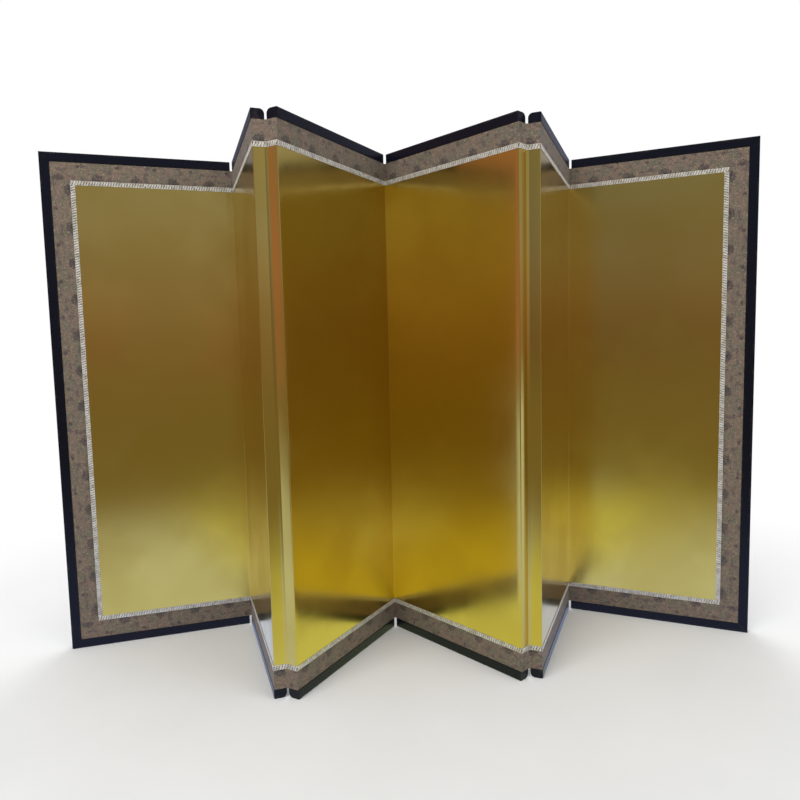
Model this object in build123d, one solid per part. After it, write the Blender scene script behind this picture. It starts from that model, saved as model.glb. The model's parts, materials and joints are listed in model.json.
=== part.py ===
from build123d import *
import os
from dataclasses import dataclass

# Six-panel folding screen. Millimetres, +Z up, +X along the span, papered fronts towards -Y.
# Origin: middle of the standing screen's outline, on the floor.
# Each panel is built in its own frame: x from its left edge or fold line to its right one,
# y from the front of the rails (0) to their back (PANEL_DEPTH), z up from the floor (0).

# Overall sizes
SCREEN_HEIGHT = 1212.0
INNER_PANEL_WIDTH = 407.5       # papered width of a panel between two folds
OUTER_PANEL_WIDTH = 437.5       # papered width of an end panel, with its end stile
PANEL_DEPTH = 27.5              # front to back of the lacquered rails

# How the screen stands: the opening of each fold, and where the first panel points
FOLD_OPENINGS = (91.7, 48.8, 72.4, 65.2, 88.7)
FIRST_HEADING = 15.0

# Lacquered edge frame
RAIL_HEIGHT = 22.0
STILE_WIDTH = 22.0
RAIL_BACK_RADIUS = 10.0         # soft round on a rail's outer back edge
RAIL_FRONT_RADIUS = 2.0
ROUND_LIMIT = 0.6               # largest round, as a share of a bar's height
RAIL_END_SETBACK = 2.5          # rail end behind the papered side at a fold

# Folds
FOLD_GAP = 3.5                  # between two papered sides when a fold lies flat
CLOSED_GAP = 0.8                # between two rails when a fold is shut
LIP_CLEARANCE = 0.25            # hinge paper short of the fold line
HINGE_SECTIONS = 6              # pasted to the face and to the side in turn
HINGE_CUT = 1.0                 # slit between two sections
HINGE_THICKNESS = 0.4
HINGE_WING = 24.0               # pasted width on a face

# Paper and textile layers
FACE_RECESS = 1.5               # papered face behind the face of the rails, front and back
PAPER_THICKNESS = 0.5
BROCADE_WIDTH = 42.0
BROCADE_THICKNESS = 0.5
BRAID_WIDTH = 10.5
BRAID_THICKNESS = 1.1

# Cedar core
CORE_MEMBER_WIDTH = 30.0
LATTICE_BAR_WIDTH = 12.0
LATTICE_UPRIGHTS = 3
LATTICE_CROSSBARS = 8
TENON_LENGTH = 8.0
TENON_THICKNESS = 8.0

# Double-pointed nails between the edge frame and the core
NAIL_DIAMETER = 3.0
NAIL_TIP_DIAMETER = 0.8
NAIL_REACH = 14.0               # into each of the two pieces
NAIL_POINT = 4.0
NAIL_CLEARANCE = 0.05
STILE_NAIL_EVERY = 2            # one nail in every second bay of the lattice

# Levels and planes that several pieces share
HALF_GAP = FOLD_GAP / 2
FOLD_LINE_Y = -CLOSED_GAP / 2
SKIN_Y = FACE_RECESS + PAPER_THICKNESS
CORE_TOP = SCREEN_HEIGHT - RAIL_HEIGHT
MID_Y = PANEL_DEPTH / 2


@dataclass(frozen=True)
class Panel:
    """One leaf: its number, the kind of each of its two sides, its span and where it points."""

    number: int
    left: str
    right: str
    span: float
    heading: float

    def name(self, piece):
        """The node name of one of this panel's pieces."""
        return f"panel_{self.number}_{piece}"

    def sides(self):
        """Its left and right side as (kind, on the left)."""
        return ((self.left, True), (self.right, False))

    def edge(self, kind, on_left, inset_at_fold, inset_at_stile):
        """A place measured in from one side."""
        inset = inset_at_stile if kind == "stile" else HALF_GAP + inset_at_fold
        return inset if on_left else self.span - inset

    def reach(self, inset_at_fold, inset_at_stile):
        """The left and right ends of a piece that runs across the panel."""
        return tuple(self.edge(kind, on_left, inset_at_fold, inset_at_stile) for kind, on_left in self.sides())

    def fold_y(self, kind):
        """The depth of a fold line: in front at a valley, behind at a ridge."""
        return FOLD_LINE_Y if kind == "valley" else PANEL_DEPTH - FOLD_LINE_Y


def block(x0, x1, y0, y1, z0, z1):
    """A box between two opposite corners."""
    low = (min(x0, x1), min(y0, y1), min(z0, z1))
    return Pos(*low) * Box(abs(x1 - x0), abs(y1 - y0), abs(z1 - z0), align=(Align.MIN,) * 3)


def prism(outline, z0, z1):
    """An upright solid over a plan outline."""
    face = Pos(0, 0, z0) * make_face(Polyline(*outline, close=True))
    return extrude(face, amount=z1 - z0, dir=(0, 0, 1))


def flip_top(shape):
    """The same piece at the other end of the panel's height."""
    return mirror(shape, about=Plane.XY.offset(SCREEN_HEIGHT / 2))


def evenly(low, high, count):
    """Inner division points that split a length into count + 1 bays."""
    step = (high - low) / (count + 1)
    return [low + step * (i + 1) for i in range(count)]


def bay_centres(low, high, count):
    """The middle of each bay between those division points."""
    step = (high - low) / (count + 1)
    return [low + step * (i + 0.5) for i in range(count + 1)]


# ---- Layout of the panels in plan ----

def make_panels():
    """The six panels, folds alternating between valley and ridge."""
    kinds = ["stile", "valley", "ridge", "valley", "ridge", "valley", "stile"]
    inner_span = INNER_PANEL_WIDTH + FOLD_GAP
    outer_span = OUTER_PANEL_WIDTH + HALF_GAP
    heading = FIRST_HEADING
    panels = []
    for i in range(6):
        span = outer_span if i in (0, 5) else inner_span
        panels.append(Panel(i + 1, kinds[i], kinds[i + 1], span, heading))
        if i < 5:
            turn = 180.0 - FOLD_OPENINGS[i]
            heading += -turn if kinds[i + 1] == "valley" else turn
    return panels


def place_panels(panels):
    """A location for each panel, chained from fold line to fold line."""
    places = []
    joint = Vector(0, 0, 0)
    for panel in panels:
        turn = Rot(0, 0, panel.heading)
        left_y = panel.fold_y(panel.left) if panel.left != "stile" else 0.0
        right_y = panel.fold_y(panel.right)
        start = joint - (turn * Pos(0, left_y, 0)).position
        places.append(Pos(start) * turn)
        joint = (places[-1] * Pos(panel.span, right_y, 0)).position
    return places


# ---- Cedar core ----

def core_reach(panel):
    """Left and right side of the core."""
    return panel.reach(PAPER_THICKNESS + HINGE_THICKNESS, STILE_WIDTH)


def lattice_lines(panel):
    """Centre lines of the lattice: uprights in x, crossbars in z."""
    left, right = core_reach(panel)
    uprights = evenly(left + CORE_MEMBER_WIDTH, right - CORE_MEMBER_WIDTH, LATTICE_UPRIGHTS)
    crossbars = evenly(RAIL_HEIGHT + CORE_MEMBER_WIDTH, CORE_TOP - CORE_MEMBER_WIDTH, LATTICE_CROSSBARS)
    return uprights, crossbars


def make_core(panel):
    """Perimeter stiles and rails, lapped at the corners, with a cross-lapped lattice tenoned into them."""
    left, right = core_reach(panel)
    front, back = SKIN_Y, PANEL_DEPTH - SKIN_Y
    low, high = RAIL_HEIGHT, CORE_TOP
    inner_x = (left + CORE_MEMBER_WIDTH, right - CORE_MEMBER_WIDTH)
    inner_z = (low + CORE_MEMBER_WIDTH, high - CORE_MEMBER_WIDTH)
    half = LATTICE_BAR_WIDTH / 2
    tenon_y = (MID_Y - TENON_THICKNESS / 2, MID_Y + TENON_THICKNESS / 2)
    upright_lines, crossbar_lines = lattice_lines(panel)

    upright_tenons = [
        block(x - half, x + half, *tenon_y, z, z + step)
        for x in upright_lines
        for z, step in ((inner_z[0], -TENON_LENGTH), (inner_z[1], TENON_LENGTH))
    ]
    crossbar_tenons = [
        block(x, x + step, *tenon_y, z - half, z + half)
        for z in crossbar_lines
        for x, step in ((inner_x[0], -TENON_LENGTH), (inner_x[1], TENON_LENGTH))
    ]
    corner_z = [(low, inner_z[0]), (inner_z[1], high)]
    corner_x = [(left, inner_x[0]), (inner_x[1], right)]

    solids = []
    for span_x in corner_x:
        laps = [block(*span_x, MID_Y, back, *z) for z in corner_z]
        cuts = laps + crossbar_tenons + hinge_rebates(panel) + nail_holes(panel)
        solids.append(block(*span_x, front, back, low, high) - cuts)
    for span_z in corner_z:
        laps = [block(*x, front, MID_Y, *span_z) for x in corner_x]
        cuts = laps + upright_tenons + hinge_rebates(panel) + nail_holes(panel)
        solids.append(block(left, right, front, back, *span_z) - cuts)
    for i, x in enumerate(upright_lines):
        bar = block(x - half, x + half, front, back, *inner_z) + upright_tenons[2 * i:2 * i + 2]
        solids.append(bar - [block(x - half, x + half, MID_Y, back, z - half, z + half) for z in crossbar_lines])
    for i, z in enumerate(crossbar_lines):
        bar = block(*inner_x, front, back, z - half, z + half) + crossbar_tenons[2 * i:2 * i + 2]
        solids.append(bar - [block(x - half, x + half, front, MID_Y, z - half, z + half) for x in upright_lines])
    return solids


# ---- Paper hinges ----

def hinge_sections():
    """Bottom and top of each section of hinge paper."""
    pitch = (CORE_TOP - RAIL_HEIGHT) / HINGE_SECTIONS
    lows = [RAIL_HEIGHT + pitch * i for i in range(HINGE_SECTIONS)]
    return [(z + HINGE_CUT / 2, z + pitch - HINGE_CUT / 2) for z in lows]


def pasted_to_face(on_left, section):
    """Whether this panel holds a section by its face. The panel across the fold holds it by its side."""
    return (section % 2 == 0) == on_left


def at_fold(panel, kind, on_left, points):
    """Turns points given for a valley on the left into this side of the panel."""
    turned = []
    for x, y in points:
        side_x = x if on_left else panel.span - x
        side_y = y if kind == "valley" else PANEL_DEPTH - y
        turned.append((side_x, side_y))
    return turned


def hinge_outline(on_face):
    """Plan outline of a wing: a lip that comes from the fold line, and its pasted leg."""
    tip = (LIP_CLEARANCE, FOLD_LINE_Y + LIP_CLEARANCE)
    inner = SKIN_Y + HINGE_THICKNESS
    lip_back = [(HALF_GAP, inner), (tip[0], tip[1] + HINGE_THICKNESS)]
    if on_face:
        end = HALF_GAP + HINGE_WING
        return [tip, (HALF_GAP, SKIN_Y), (end, SKIN_Y), (end, inner)] + lip_back
    side = HALF_GAP + PAPER_THICKNESS
    core = side + HINGE_THICKNESS
    end = PANEL_DEPTH - SKIN_Y
    return [tip, (HALF_GAP, SKIN_Y), (core, SKIN_Y), (core, end), (side, end), (side, inner)] + lip_back


def make_hinge_paper(panel):
    """The wings of hinge paper that this panel carries at each of its folds."""
    solids = []
    for kind, on_left in panel.sides():
        if kind == "stile":
            continue
        for section, (low, high) in enumerate(hinge_sections()):
            outline = hinge_outline(pasted_to_face(on_left, section))
            solids.append(prism(at_fold(panel, kind, on_left, outline), low, high))
    return solids


def hinge_rebates(panel):
    """Shallow rebates in the core under the wings that are pasted to a face."""
    cuts = []
    outline = [(0, SKIN_Y), (HALF_GAP + HINGE_WING, SKIN_Y + HINGE_THICKNESS)]
    for kind, on_left in panel.sides():
        if kind == "stile":
            continue
        (x0, y0), (x1, y1) = at_fold(panel, kind, on_left, outline)
        for section, (low, high) in enumerate(hinge_sections()):
            if pasted_to_face(on_left, section):
                cuts.append(block(x0, x1, y0, y1, low, high))
    return cuts


# ---- Paper skins, brocade and braid ----

def wrap(panel, kind_wrapped, thickness, proud, low, high):
    """Side returns of a layer, at the folds of one kind, clear of the hinge paper's lip.

    thickness runs inwards and proud outwards from the papered side.
    """
    returns = []
    near = SKIN_Y + HINGE_THICKNESS
    for kind, on_left in panel.sides():
        if kind != kind_wrapped:
            continue
        points = [(HALF_GAP - proud, near), (HALF_GAP + thickness, PANEL_DEPTH - FACE_RECESS + proud)]
        (x0, y0), (x1, y1) = at_fold(panel, kind, on_left, points)
        returns.append(block(x0, x1, y0, y1, low, high))
    return returns


def make_gold_paper(panel):
    """Gold paper over the front, turned round the sides that show at a ridge."""
    left, right = panel.reach(0.0, STILE_WIDTH)
    sheet = block(left, right, FACE_RECESS, SKIN_Y, RAIL_HEIGHT, CORE_TOP)
    return [sheet + wrap(panel, "ridge", PAPER_THICKNESS, 0.0, RAIL_HEIGHT, CORE_TOP)]


def make_back_paper(panel):
    """Backing paper over the back, turned round the sides that show at a valley."""
    left, right = panel.reach(0.0, STILE_WIDTH)
    sheet = block(left, right, PANEL_DEPTH - SKIN_Y, PANEL_DEPTH - FACE_RECESS, RAIL_HEIGHT, CORE_TOP)
    return [sheet + wrap(panel, "valley", PAPER_THICKNESS, 0.0, RAIL_HEIGHT, CORE_TOP)]


def border_strips(panel, inset, width, thickness):
    """A border of one textile: a strip along the bottom, one along the top, and one up each end stile."""
    left, right = panel.reach(0.0, STILE_WIDTH + inset)
    low = RAIL_HEIGHT + inset
    front = FACE_RECESS - thickness
    strip = block(left, right, front, FACE_RECESS, low, low + width)
    strip += wrap(panel, "ridge", 0.0, thickness, low, low + width)
    strips = [strip, flip_top(strip)]
    for kind, on_left in panel.sides():
        if kind == "stile":
            outer = panel.edge(kind, on_left, 0.0, STILE_WIDTH + inset)
            inner = panel.edge(kind, on_left, 0.0, STILE_WIDTH + inset + width)
            strips.append(block(outer, inner, front, FACE_RECESS, low + width, SCREEN_HEIGHT - low - width))
    return strips


def make_brocade(panel):
    """Brocade border next to the lacquer."""
    return border_strips(panel, 0.0, BROCADE_WIDTH, BROCADE_THICKNESS)


def make_braid(panel):
    """Narrow woven braid along the inner edge of the brocade."""
    return border_strips(panel, BROCADE_WIDTH, BRAID_WIDTH, BRAID_THICKNESS)


# ---- Lacquered edge frame ----

def lacquer_bar(length, height):
    """A bar along x with its outer face down, its outer back edge well rounded."""
    bar = block(0, length, 0, PANEL_DEPTH, 0, height)
    outer_edges = bar.edges().filter_by(Axis.X).group_by(Axis.Z)[0].sort_by(Axis.Y)
    bar = fillet(outer_edges[-1], min(RAIL_BACK_RADIUS, ROUND_LIMIT * height))
    outer_edges = bar.edges().filter_by(Axis.X).group_by(Axis.Z)[0].sort_by(Axis.Y)
    return fillet(outer_edges[0], RAIL_FRONT_RADIUS)


def mitre_wedge(panel, on_left, above):
    """The corner that a mitre takes off the rail (above the diagonal) or off the end stile (below it)."""
    corner = (0, RAIL_HEIGHT) if above else (STILE_WIDTH, 0)
    outline = make_face(Polyline((0, 0), corner, (STILE_WIDTH, RAIL_HEIGHT), close=True))
    wedge = extrude(Plane.XZ * outline, amount=PANEL_DEPTH, dir=(0, 1, 0))
    if on_left:
        return wedge
    return mirror(wedge, about=Plane.YZ.offset(panel.span / 2))


def make_bottom_rail(panel):
    """The rail that the panel stands on, square at a fold and mitred at an end stile."""
    left, right = panel.reach(RAIL_END_SETBACK, 0.0)
    rail = Pos(left, 0, 0) * lacquer_bar(right - left, RAIL_HEIGHT)
    wedges = [mitre_wedge(panel, on_left, True) for kind, on_left in panel.sides() if kind == "stile"]
    return [rail - (wedges + nail_holes(panel))]


def make_top_rail(panel):
    """The same rail along the top."""
    return [flip_top(rail) for rail in make_bottom_rail(panel)]


def make_end_stile(panel):
    """The upright that closes the outer side of an end panel, mitred to both rails."""
    on_left = panel.left == "stile"
    bar = Rot(0, 90, 0) * Pos(-SCREEN_HEIGHT, 0, 0) * lacquer_bar(SCREEN_HEIGHT, STILE_WIDTH)
    if not on_left:
        bar = mirror(bar, about=Plane.YZ.offset(panel.span / 2))
    wedge = mitre_wedge(panel, on_left, False)
    return [bar - ([wedge, flip_top(wedge)] + nail_holes(panel))]


# ---- Hidden nails ----

def nail_body(clearance):
    """A double-pointed nail, upright, centred on the joint between two pieces, or the hole that it fills."""
    radius = NAIL_DIAMETER / 2 + clearance
    tip = NAIL_TIP_DIAMETER / 2 + clearance
    shank = Cylinder(radius, 2 * (NAIL_REACH - NAIL_POINT))
    point = Pos(0, 0, NAIL_REACH - NAIL_POINT / 2) * Cone(radius, tip, NAIL_POINT)
    return shank + point + mirror(point, about=Plane.XY)


def nail_places(panel):
    """Where each nail sits: up through the rails in the lattice's bays, sideways through an end stile."""
    left, right = core_reach(panel)
    bays_x = bay_centres(left + CORE_MEMBER_WIDTH, right - CORE_MEMBER_WIDTH, LATTICE_UPRIGHTS)
    places = [Pos(x, MID_Y, z) for z in (RAIL_HEIGHT, CORE_TOP) for x in bays_x]
    bays_z = bay_centres(RAIL_HEIGHT + CORE_MEMBER_WIDTH, CORE_TOP - CORE_MEMBER_WIDTH, LATTICE_CROSSBARS)
    for kind, on_left in panel.sides():
        if kind == "stile":
            x = panel.edge(kind, on_left, 0.0, STILE_WIDTH)
            places += [Pos(x, MID_Y, z) * Rot(0, 90, 0) for z in bays_z[::STILE_NAIL_EVERY]]
    return places


def make_nails(panel):
    """The nails that hold the edge frame to the core."""
    return [place * nail_body(0.0) for place in nail_places(panel)]


def nail_holes(panel):
    """The holes that those nails fill."""
    return [place * nail_body(NAIL_CLEARANCE) for place in nail_places(panel)]


# ---- Build ----

def make_pieces(panel):
    """Every piece of one panel, by node name, in the panel's own frame."""
    pieces = {
        "core": make_core(panel),
        "hinge_paper": make_hinge_paper(panel),
        "gold_paper": make_gold_paper(panel),
        "back_paper": make_back_paper(panel),
        "brocade": make_brocade(panel),
        "braid": make_braid(panel),
        "bottom_rail": make_bottom_rail(panel),
        "top_rail": make_top_rail(panel),
        "rail_nails": make_nails(panel),
    }
    if "stile" in (panel.left, panel.right):
        pieces["end_stile"] = make_end_stile(panel)
    return {panel.name(piece): solids for piece, solids in pieces.items()}


def build():
    """Builds the screen, sets its origin and writes one file for each node."""
    os.makedirs("parts", exist_ok=True)
    panels = make_panels()
    places = place_panels(panels)
    nodes = {}
    for panel, place in zip(panels, places):
        for node, solids in make_pieces(panel).items():
            nodes[node] = Compound([solid for part in solids for solid in (place * part).solids()])
    outline = Compound(list(nodes.values())).bounding_box()
    origin = Pos(-outline.center().X, -outline.center().Y, 0)
    for node, shape in nodes.items():
        export_step(origin * shape, f"parts/{node}.step")
    for panel, place in zip(panels, places):
        fold_y = panel.fold_y(panel.right)
        fold = (origin * place * Pos(panel.span, fold_y, 0)).position
        foot = (origin * place * Pos(panel.span / 2, MID_Y, 0)).position
        print(f"panel {panel.number} heading {panel.heading:.2f} right edge {fold.X:.4f} {fold.Y:.4f}"
              f" foot {foot.X:.4f} {foot.Y:.4f}")
    print(f"span {outline.size.X:.2f} depth {outline.size.Y:.2f} height {outline.size.Z:.2f}")


build()
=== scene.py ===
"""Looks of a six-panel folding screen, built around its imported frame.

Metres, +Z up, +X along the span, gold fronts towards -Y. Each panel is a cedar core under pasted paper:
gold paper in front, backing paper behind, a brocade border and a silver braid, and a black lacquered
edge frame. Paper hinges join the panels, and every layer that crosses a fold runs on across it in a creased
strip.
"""
from __future__ import annotations

import json
import logging
import math
from dataclasses import dataclass
from enum import Enum
from typing import Callable, Sequence

import bmesh
import bpy
import numpy as np
from mathutils import Matrix, Vector

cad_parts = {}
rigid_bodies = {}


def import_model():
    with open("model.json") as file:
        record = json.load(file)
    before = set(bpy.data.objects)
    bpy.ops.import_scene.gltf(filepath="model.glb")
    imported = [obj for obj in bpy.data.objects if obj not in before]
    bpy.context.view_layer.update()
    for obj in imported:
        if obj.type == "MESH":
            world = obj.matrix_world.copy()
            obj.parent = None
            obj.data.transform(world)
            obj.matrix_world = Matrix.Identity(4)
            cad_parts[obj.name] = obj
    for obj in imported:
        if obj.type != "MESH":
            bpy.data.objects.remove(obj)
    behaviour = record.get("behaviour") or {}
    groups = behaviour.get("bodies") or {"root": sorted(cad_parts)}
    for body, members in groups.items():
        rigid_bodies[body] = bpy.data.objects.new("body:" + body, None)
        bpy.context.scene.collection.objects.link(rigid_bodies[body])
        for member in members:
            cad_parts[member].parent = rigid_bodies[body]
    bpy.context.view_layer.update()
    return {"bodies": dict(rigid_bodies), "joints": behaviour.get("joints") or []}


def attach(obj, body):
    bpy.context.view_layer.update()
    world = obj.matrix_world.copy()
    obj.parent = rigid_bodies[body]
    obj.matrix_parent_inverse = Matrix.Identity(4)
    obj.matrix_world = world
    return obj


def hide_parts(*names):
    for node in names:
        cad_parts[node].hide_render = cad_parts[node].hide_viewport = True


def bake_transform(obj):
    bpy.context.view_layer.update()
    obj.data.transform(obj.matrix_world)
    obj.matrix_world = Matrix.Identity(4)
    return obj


LOG = logging.getLogger("screen")
MM = 0.001
Plan = np.ndarray  # rows of x, y
Colour = tuple[float, float, float, float]
Socket = bpy.types.NodeSocket


class Side(Enum):
    """What closes one side of a panel."""

    STILE = "stile"
    VALLEY = "valley"
    RIDGE = "ridge"


class Face(Enum):
    """The two faces of a panel."""

    FRONT = "front"
    BACK = "back"


# ---------------------------------------------------------------------------------------------
# Where things are: the leaves and folds of the frame
# ---------------------------------------------------------------------------------------------


@dataclass(frozen=True)
class Extent:
    """A node's limits in its panel's own axes: along the panel, through it and up."""

    u0: float
    u1: float
    n0: float
    n1: float
    z0: float
    z1: float


@dataclass(frozen=True)
class Leaf:
    """One panel of the frame, with its plan axes: along the face, and through it to the back."""

    number: int
    left: Side
    right: Side
    along: np.ndarray
    through: np.ndarray

    @property
    def body(self) -> str:
        """The body that the panel's pieces ride on."""
        return f"panel_{self.number}"

    def node(self, piece: str) -> str:
        """The name of one of the panel's nodes."""
        return f"{self.body}_{piece}"

    def extent(self, piece: str) -> Extent:
        """Measures a node in the panel's axes.

        Args:
            piece: the node's name without the panel.

        Returns:
            Its limits at rest, in metres.
        """
        points = vertices_of(bpy.data.objects[self.node(piece)])
        u, n, z = points[:, :2] @ self.along, points[:, :2] @ self.through, points[:, 2]
        return Extent(u.min(), u.max(), n.min(), n.max(), z.min(), z.max())

    def plan(self, u: np.ndarray, n: np.ndarray) -> Plan:
        """Turns places in the panel's axes into places on the floor plan."""
        return np.outer(u, self.along) + np.outer(n, self.through)

    def sides(self) -> tuple[tuple[Side, bool], tuple[Side, bool]]:
        """The left and right side, each with whether it is the left one."""
        return (self.left, True), (self.right, False)


@dataclass(frozen=True)
class Fold:
    """A fold between two neighbouring leaves."""

    left: Leaf
    right: Leaf
    kind: Side
    axis: np.ndarray

    @property
    def face(self) -> Face:
        """The face on whose side the two leaves touch."""
        return Face.FRONT if self.kind is Side.VALLEY else Face.BACK

    @property
    def label(self) -> str:
        """A short name for the fold."""
        return f"fold_{self.left.number}"


def vertices_of(obj: bpy.types.Object) -> np.ndarray:
    """The vertices of an object's mesh, as rows of x, y, z.

    Args:
        obj: a mesh object.

    Returns:
        One row for each vertex.
    """
    points = np.zeros(len(obj.data.vertices) * 3)
    obj.data.vertices.foreach_get("co", points)
    return points.reshape(-1, 3)


def plan_axes(node: str) -> tuple[np.ndarray, np.ndarray]:
    """Reads a panel's plan axes off the widest face of its gold paper.

    Args:
        node: the name of the gold paper's node.

    Returns:
        The unit vector along the panel and the one through it, towards the back.
    """
    widest = max(bpy.data.objects[node].data.polygons, key=lambda face: face.area)
    through = np.array(widest.normal[:2])
    through /= np.linalg.norm(through)
    if through[1] < 0:
        through = -through
    return np.array([through[1], -through[0]]), through


def read_leaves(panels: int, joints: Sequence[dict]) -> tuple[list[Leaf], list[Fold]]:
    """Reads the panels and folds from the frame, left to right.

    Args:
        panels: how many panels there are.
        joints: the frame's joints, which give each fold's line on the floor plan.

    Returns:
        The leaves and the folds between them.
    """
    kinds = [Side.STILE, *[Side.RIDGE if i % 2 else Side.VALLEY for i in range(panels - 1)], Side.STILE]
    leaves = []
    for i in range(panels):
        along, through = plan_axes(f"panel_{i + 1}_gold_paper")
        leaves.append(Leaf(i + 1, kinds[i], kinds[i + 1], along, through))
    lines = {joint["name"]: np.array(joint["pos_m"][:2]) for joint in joints}
    folds = [Fold(a, b, a.right, lines[f"fold_{a.number}"]) for a, b in zip(leaves, leaves[1:])]
    return leaves, folds


# ---------------------------------------------------------------------------------------------
# Mesh tools
# ---------------------------------------------------------------------------------------------


def new_object(name: str, mesh: bpy.types.Mesh, finish: bpy.types.Material) -> bpy.types.Object:
    """Puts a mesh in the scene with smooth shading that breaks at sharp edges.

    Args:
        name: the piece's name.
        mesh: its finished mesh.
        finish: the material of all its faces.

    Returns:
        The new object, at the origin.
    """
    crease_angle = math.radians(35)
    mesh.materials.clear()
    mesh.materials.append(finish)
    mesh.polygons.foreach_set("use_smooth", [True] * len(mesh.polygons))
    mesh.set_sharp_from_angle(angle=crease_angle)
    mesh.update()
    obj = bpy.data.objects.new(name, mesh)
    bpy.context.scene.collection.objects.link(obj)
    return obj


def steps(low: float, high: float, pitch: float) -> np.ndarray:
    """Even divisions of a length, no longer than a pitch."""
    return np.linspace(low, high, max(1, math.ceil(abs(high - low) / pitch)) + 1)


def offset_path(path: Plan, distance: float) -> Plan:
    """Moves a plan path to its left by a distance, mitred at its corners.

    Args:
        path: rows of x, y.
        distance: how far to move it.

    Returns:
        The moved path, point for point.
    """
    runs = np.diff(path, axis=0)
    runs /= np.linalg.norm(runs, axis=1)[:, None]
    normals = np.stack([-runs[:, 1], runs[:, 0]], axis=1)
    before = np.vstack([normals[:1], normals])
    after = np.vstack([normals, normals[-1:]])
    mean = before + after
    mean /= np.linalg.norm(mean, axis=1)[:, None]
    return path + mean * (distance / np.sum(mean * before, axis=1))[:, None]


def arc_lengths(path: Plan) -> np.ndarray:
    """The distance along a path to each of its points."""
    return np.concatenate([[0.0], np.cumsum(np.linalg.norm(np.diff(path, axis=0), axis=1))])


@dataclass
class Sheet:
    """A thin upright sheet that follows a plan path, with its outside on the path's right.

    UV holds metres along the path and metres up from its lower edge, or down from its upper one if hung.
    """

    path: Plan
    thickness: float
    low: float
    high: float
    pitch: float
    relief: Callable[[np.ndarray, np.ndarray], np.ndarray] | None = None
    start: float = 0.0
    hung: bool = False

    def add_to(self, mesh: bmesh.types.BMesh) -> None:
        """Adds the closed sheet to a mesh.

        Args:
            mesh: the mesh that takes it.
        """
        uv_layer = mesh.loops.layers.uv.verify()
        levels = steps(self.low, self.high, self.pitch)
        along = arc_lengths(self.path) + self.start
        inner = offset_path(self.path, self.thickness)
        outward = (self.path - inner) / self.thickness
        rise = np.zeros((len(along), len(levels)))
        if self.relief:
            rise = self.relief(along[:, None], levels[None, :])
        grids = []
        for plan, lift in ((self.path, rise), (inner, np.zeros_like(rise))):
            grid = []
            for i, place in enumerate(plan):
                row = []
                for k, z in enumerate(levels):
                    x, y = place + outward[i] * lift[i, k]
                    row.append(mesh.verts.new((x, y, z)))
                grid.append(row)
            grids.append(grid)
        spots = {}
        for grid in grids:
            for i, row in enumerate(grid):
                for k, vertex in enumerate(row):
                    spots[vertex] = (along[i], self.high - levels[k] if self.hung else levels[k] - self.low)
        for corners in self._quads(grids, len(along), len(levels)):
            face = mesh.faces.new(corners)
            for loop in face.loops:
                loop[uv_layer].uv = spots[loop.vert]

    @staticmethod
    def _quads(grids: list, across: int, up: int) -> list[tuple]:
        """The corners of each face: outside, inside, two ends, bottom and top.

        Args:
            grids: the vertices of the outside and of the inside.
            across: how many places along the path.
            up: how many levels.

        Returns:
            Four corners for each face.
        """
        outer, inner = grids
        quads = []
        for i in range(across - 1):
            for k in range(up - 1):
                quads.append((outer[i][k], outer[i + 1][k], outer[i + 1][k + 1], outer[i][k + 1]))
                quads.append((inner[i][k + 1], inner[i + 1][k + 1], inner[i + 1][k], inner[i][k]))
            quads.append((inner[i][0], inner[i + 1][0], outer[i + 1][0], outer[i][0]))
            quads.append((outer[i][-1], outer[i + 1][-1], inner[i + 1][-1], inner[i][-1]))
        for k in range(up - 1):
            quads.append((outer[0][k], outer[0][k + 1], inner[0][k + 1], inner[0][k]))
            quads.append((inner[-1][k], inner[-1][k + 1], outer[-1][k + 1], outer[-1][k]))
        return quads


def sheets_object(name: str, sheets: Sequence[Sheet], finish: bpy.types.Material) -> bpy.types.Object:
    """Makes one object of several sheets.

    Args:
        name: the piece's name.
        sheets: the sheets, which don't touch.
        finish: the material.

    Returns:
        The new object.
    """
    made = bmesh.new()
    for sheet in sheets:
        sheet.add_to(made)
    mesh = bpy.data.meshes.new(name)
    made.to_mesh(mesh)
    made.free()
    return new_object(name, mesh, finish)


def wrapped_path(
    leaf: Leaf, face: Face, piece: Extent, radius: float, pitch: float, marks: Sequence[float] = ()
) -> Plan:
    """The outside of a layer: across a face and round the sides that the layer is turned over.

    Args:
        leaf: the panel.
        face: the face that the layer covers.
        piece: the layer's limits.
        radius: of the outside where the layer turns a corner.
        pitch: the longest run between two points of the flat part.
        marks: distances from both ends of the flat part that get a point of their own.

    Returns:
        The path on the floor plan, with its outside on the right.
    """
    turned = Side.RIDGE if face is Face.FRONT else Side.VALLEY
    near, far = (piece.n0, piece.n1) if face is Face.FRONT else (piece.n1, piece.n0)
    inward = 1.0 if face is Face.FRONT else -1.0
    arc = np.linspace(0.0, math.pi / 2, 7)
    left_u, right_u = piece.u0, piece.u1
    u, n = [], []
    if leaf.left is turned:
        u += [left_u, *(left_u + radius * (1 - np.cos(arc)))]
        n += [far, *(near + inward * radius * (1 - np.sin(arc)))]
        left_u += radius
    flat_end = right_u - radius if leaf.right is turned else right_u
    flat = steps(left_u, flat_end, pitch)
    flat = np.unique(np.concatenate([flat, *[(left_u + mark, flat_end - mark) for mark in marks]]))
    flat = flat[1:] if u else flat
    u += list(flat)
    n += [near] * len(flat)
    if leaf.right is turned:
        u += [*(right_u - radius * (1 - np.sin(arc[1:]))), right_u]
        n += [*(near + inward * radius * (1 - np.cos(arc[1:]))), far]
    path = leaf.plan(np.array(u), np.array(n))
    return path if face is Face.FRONT else path[::-1]


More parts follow.
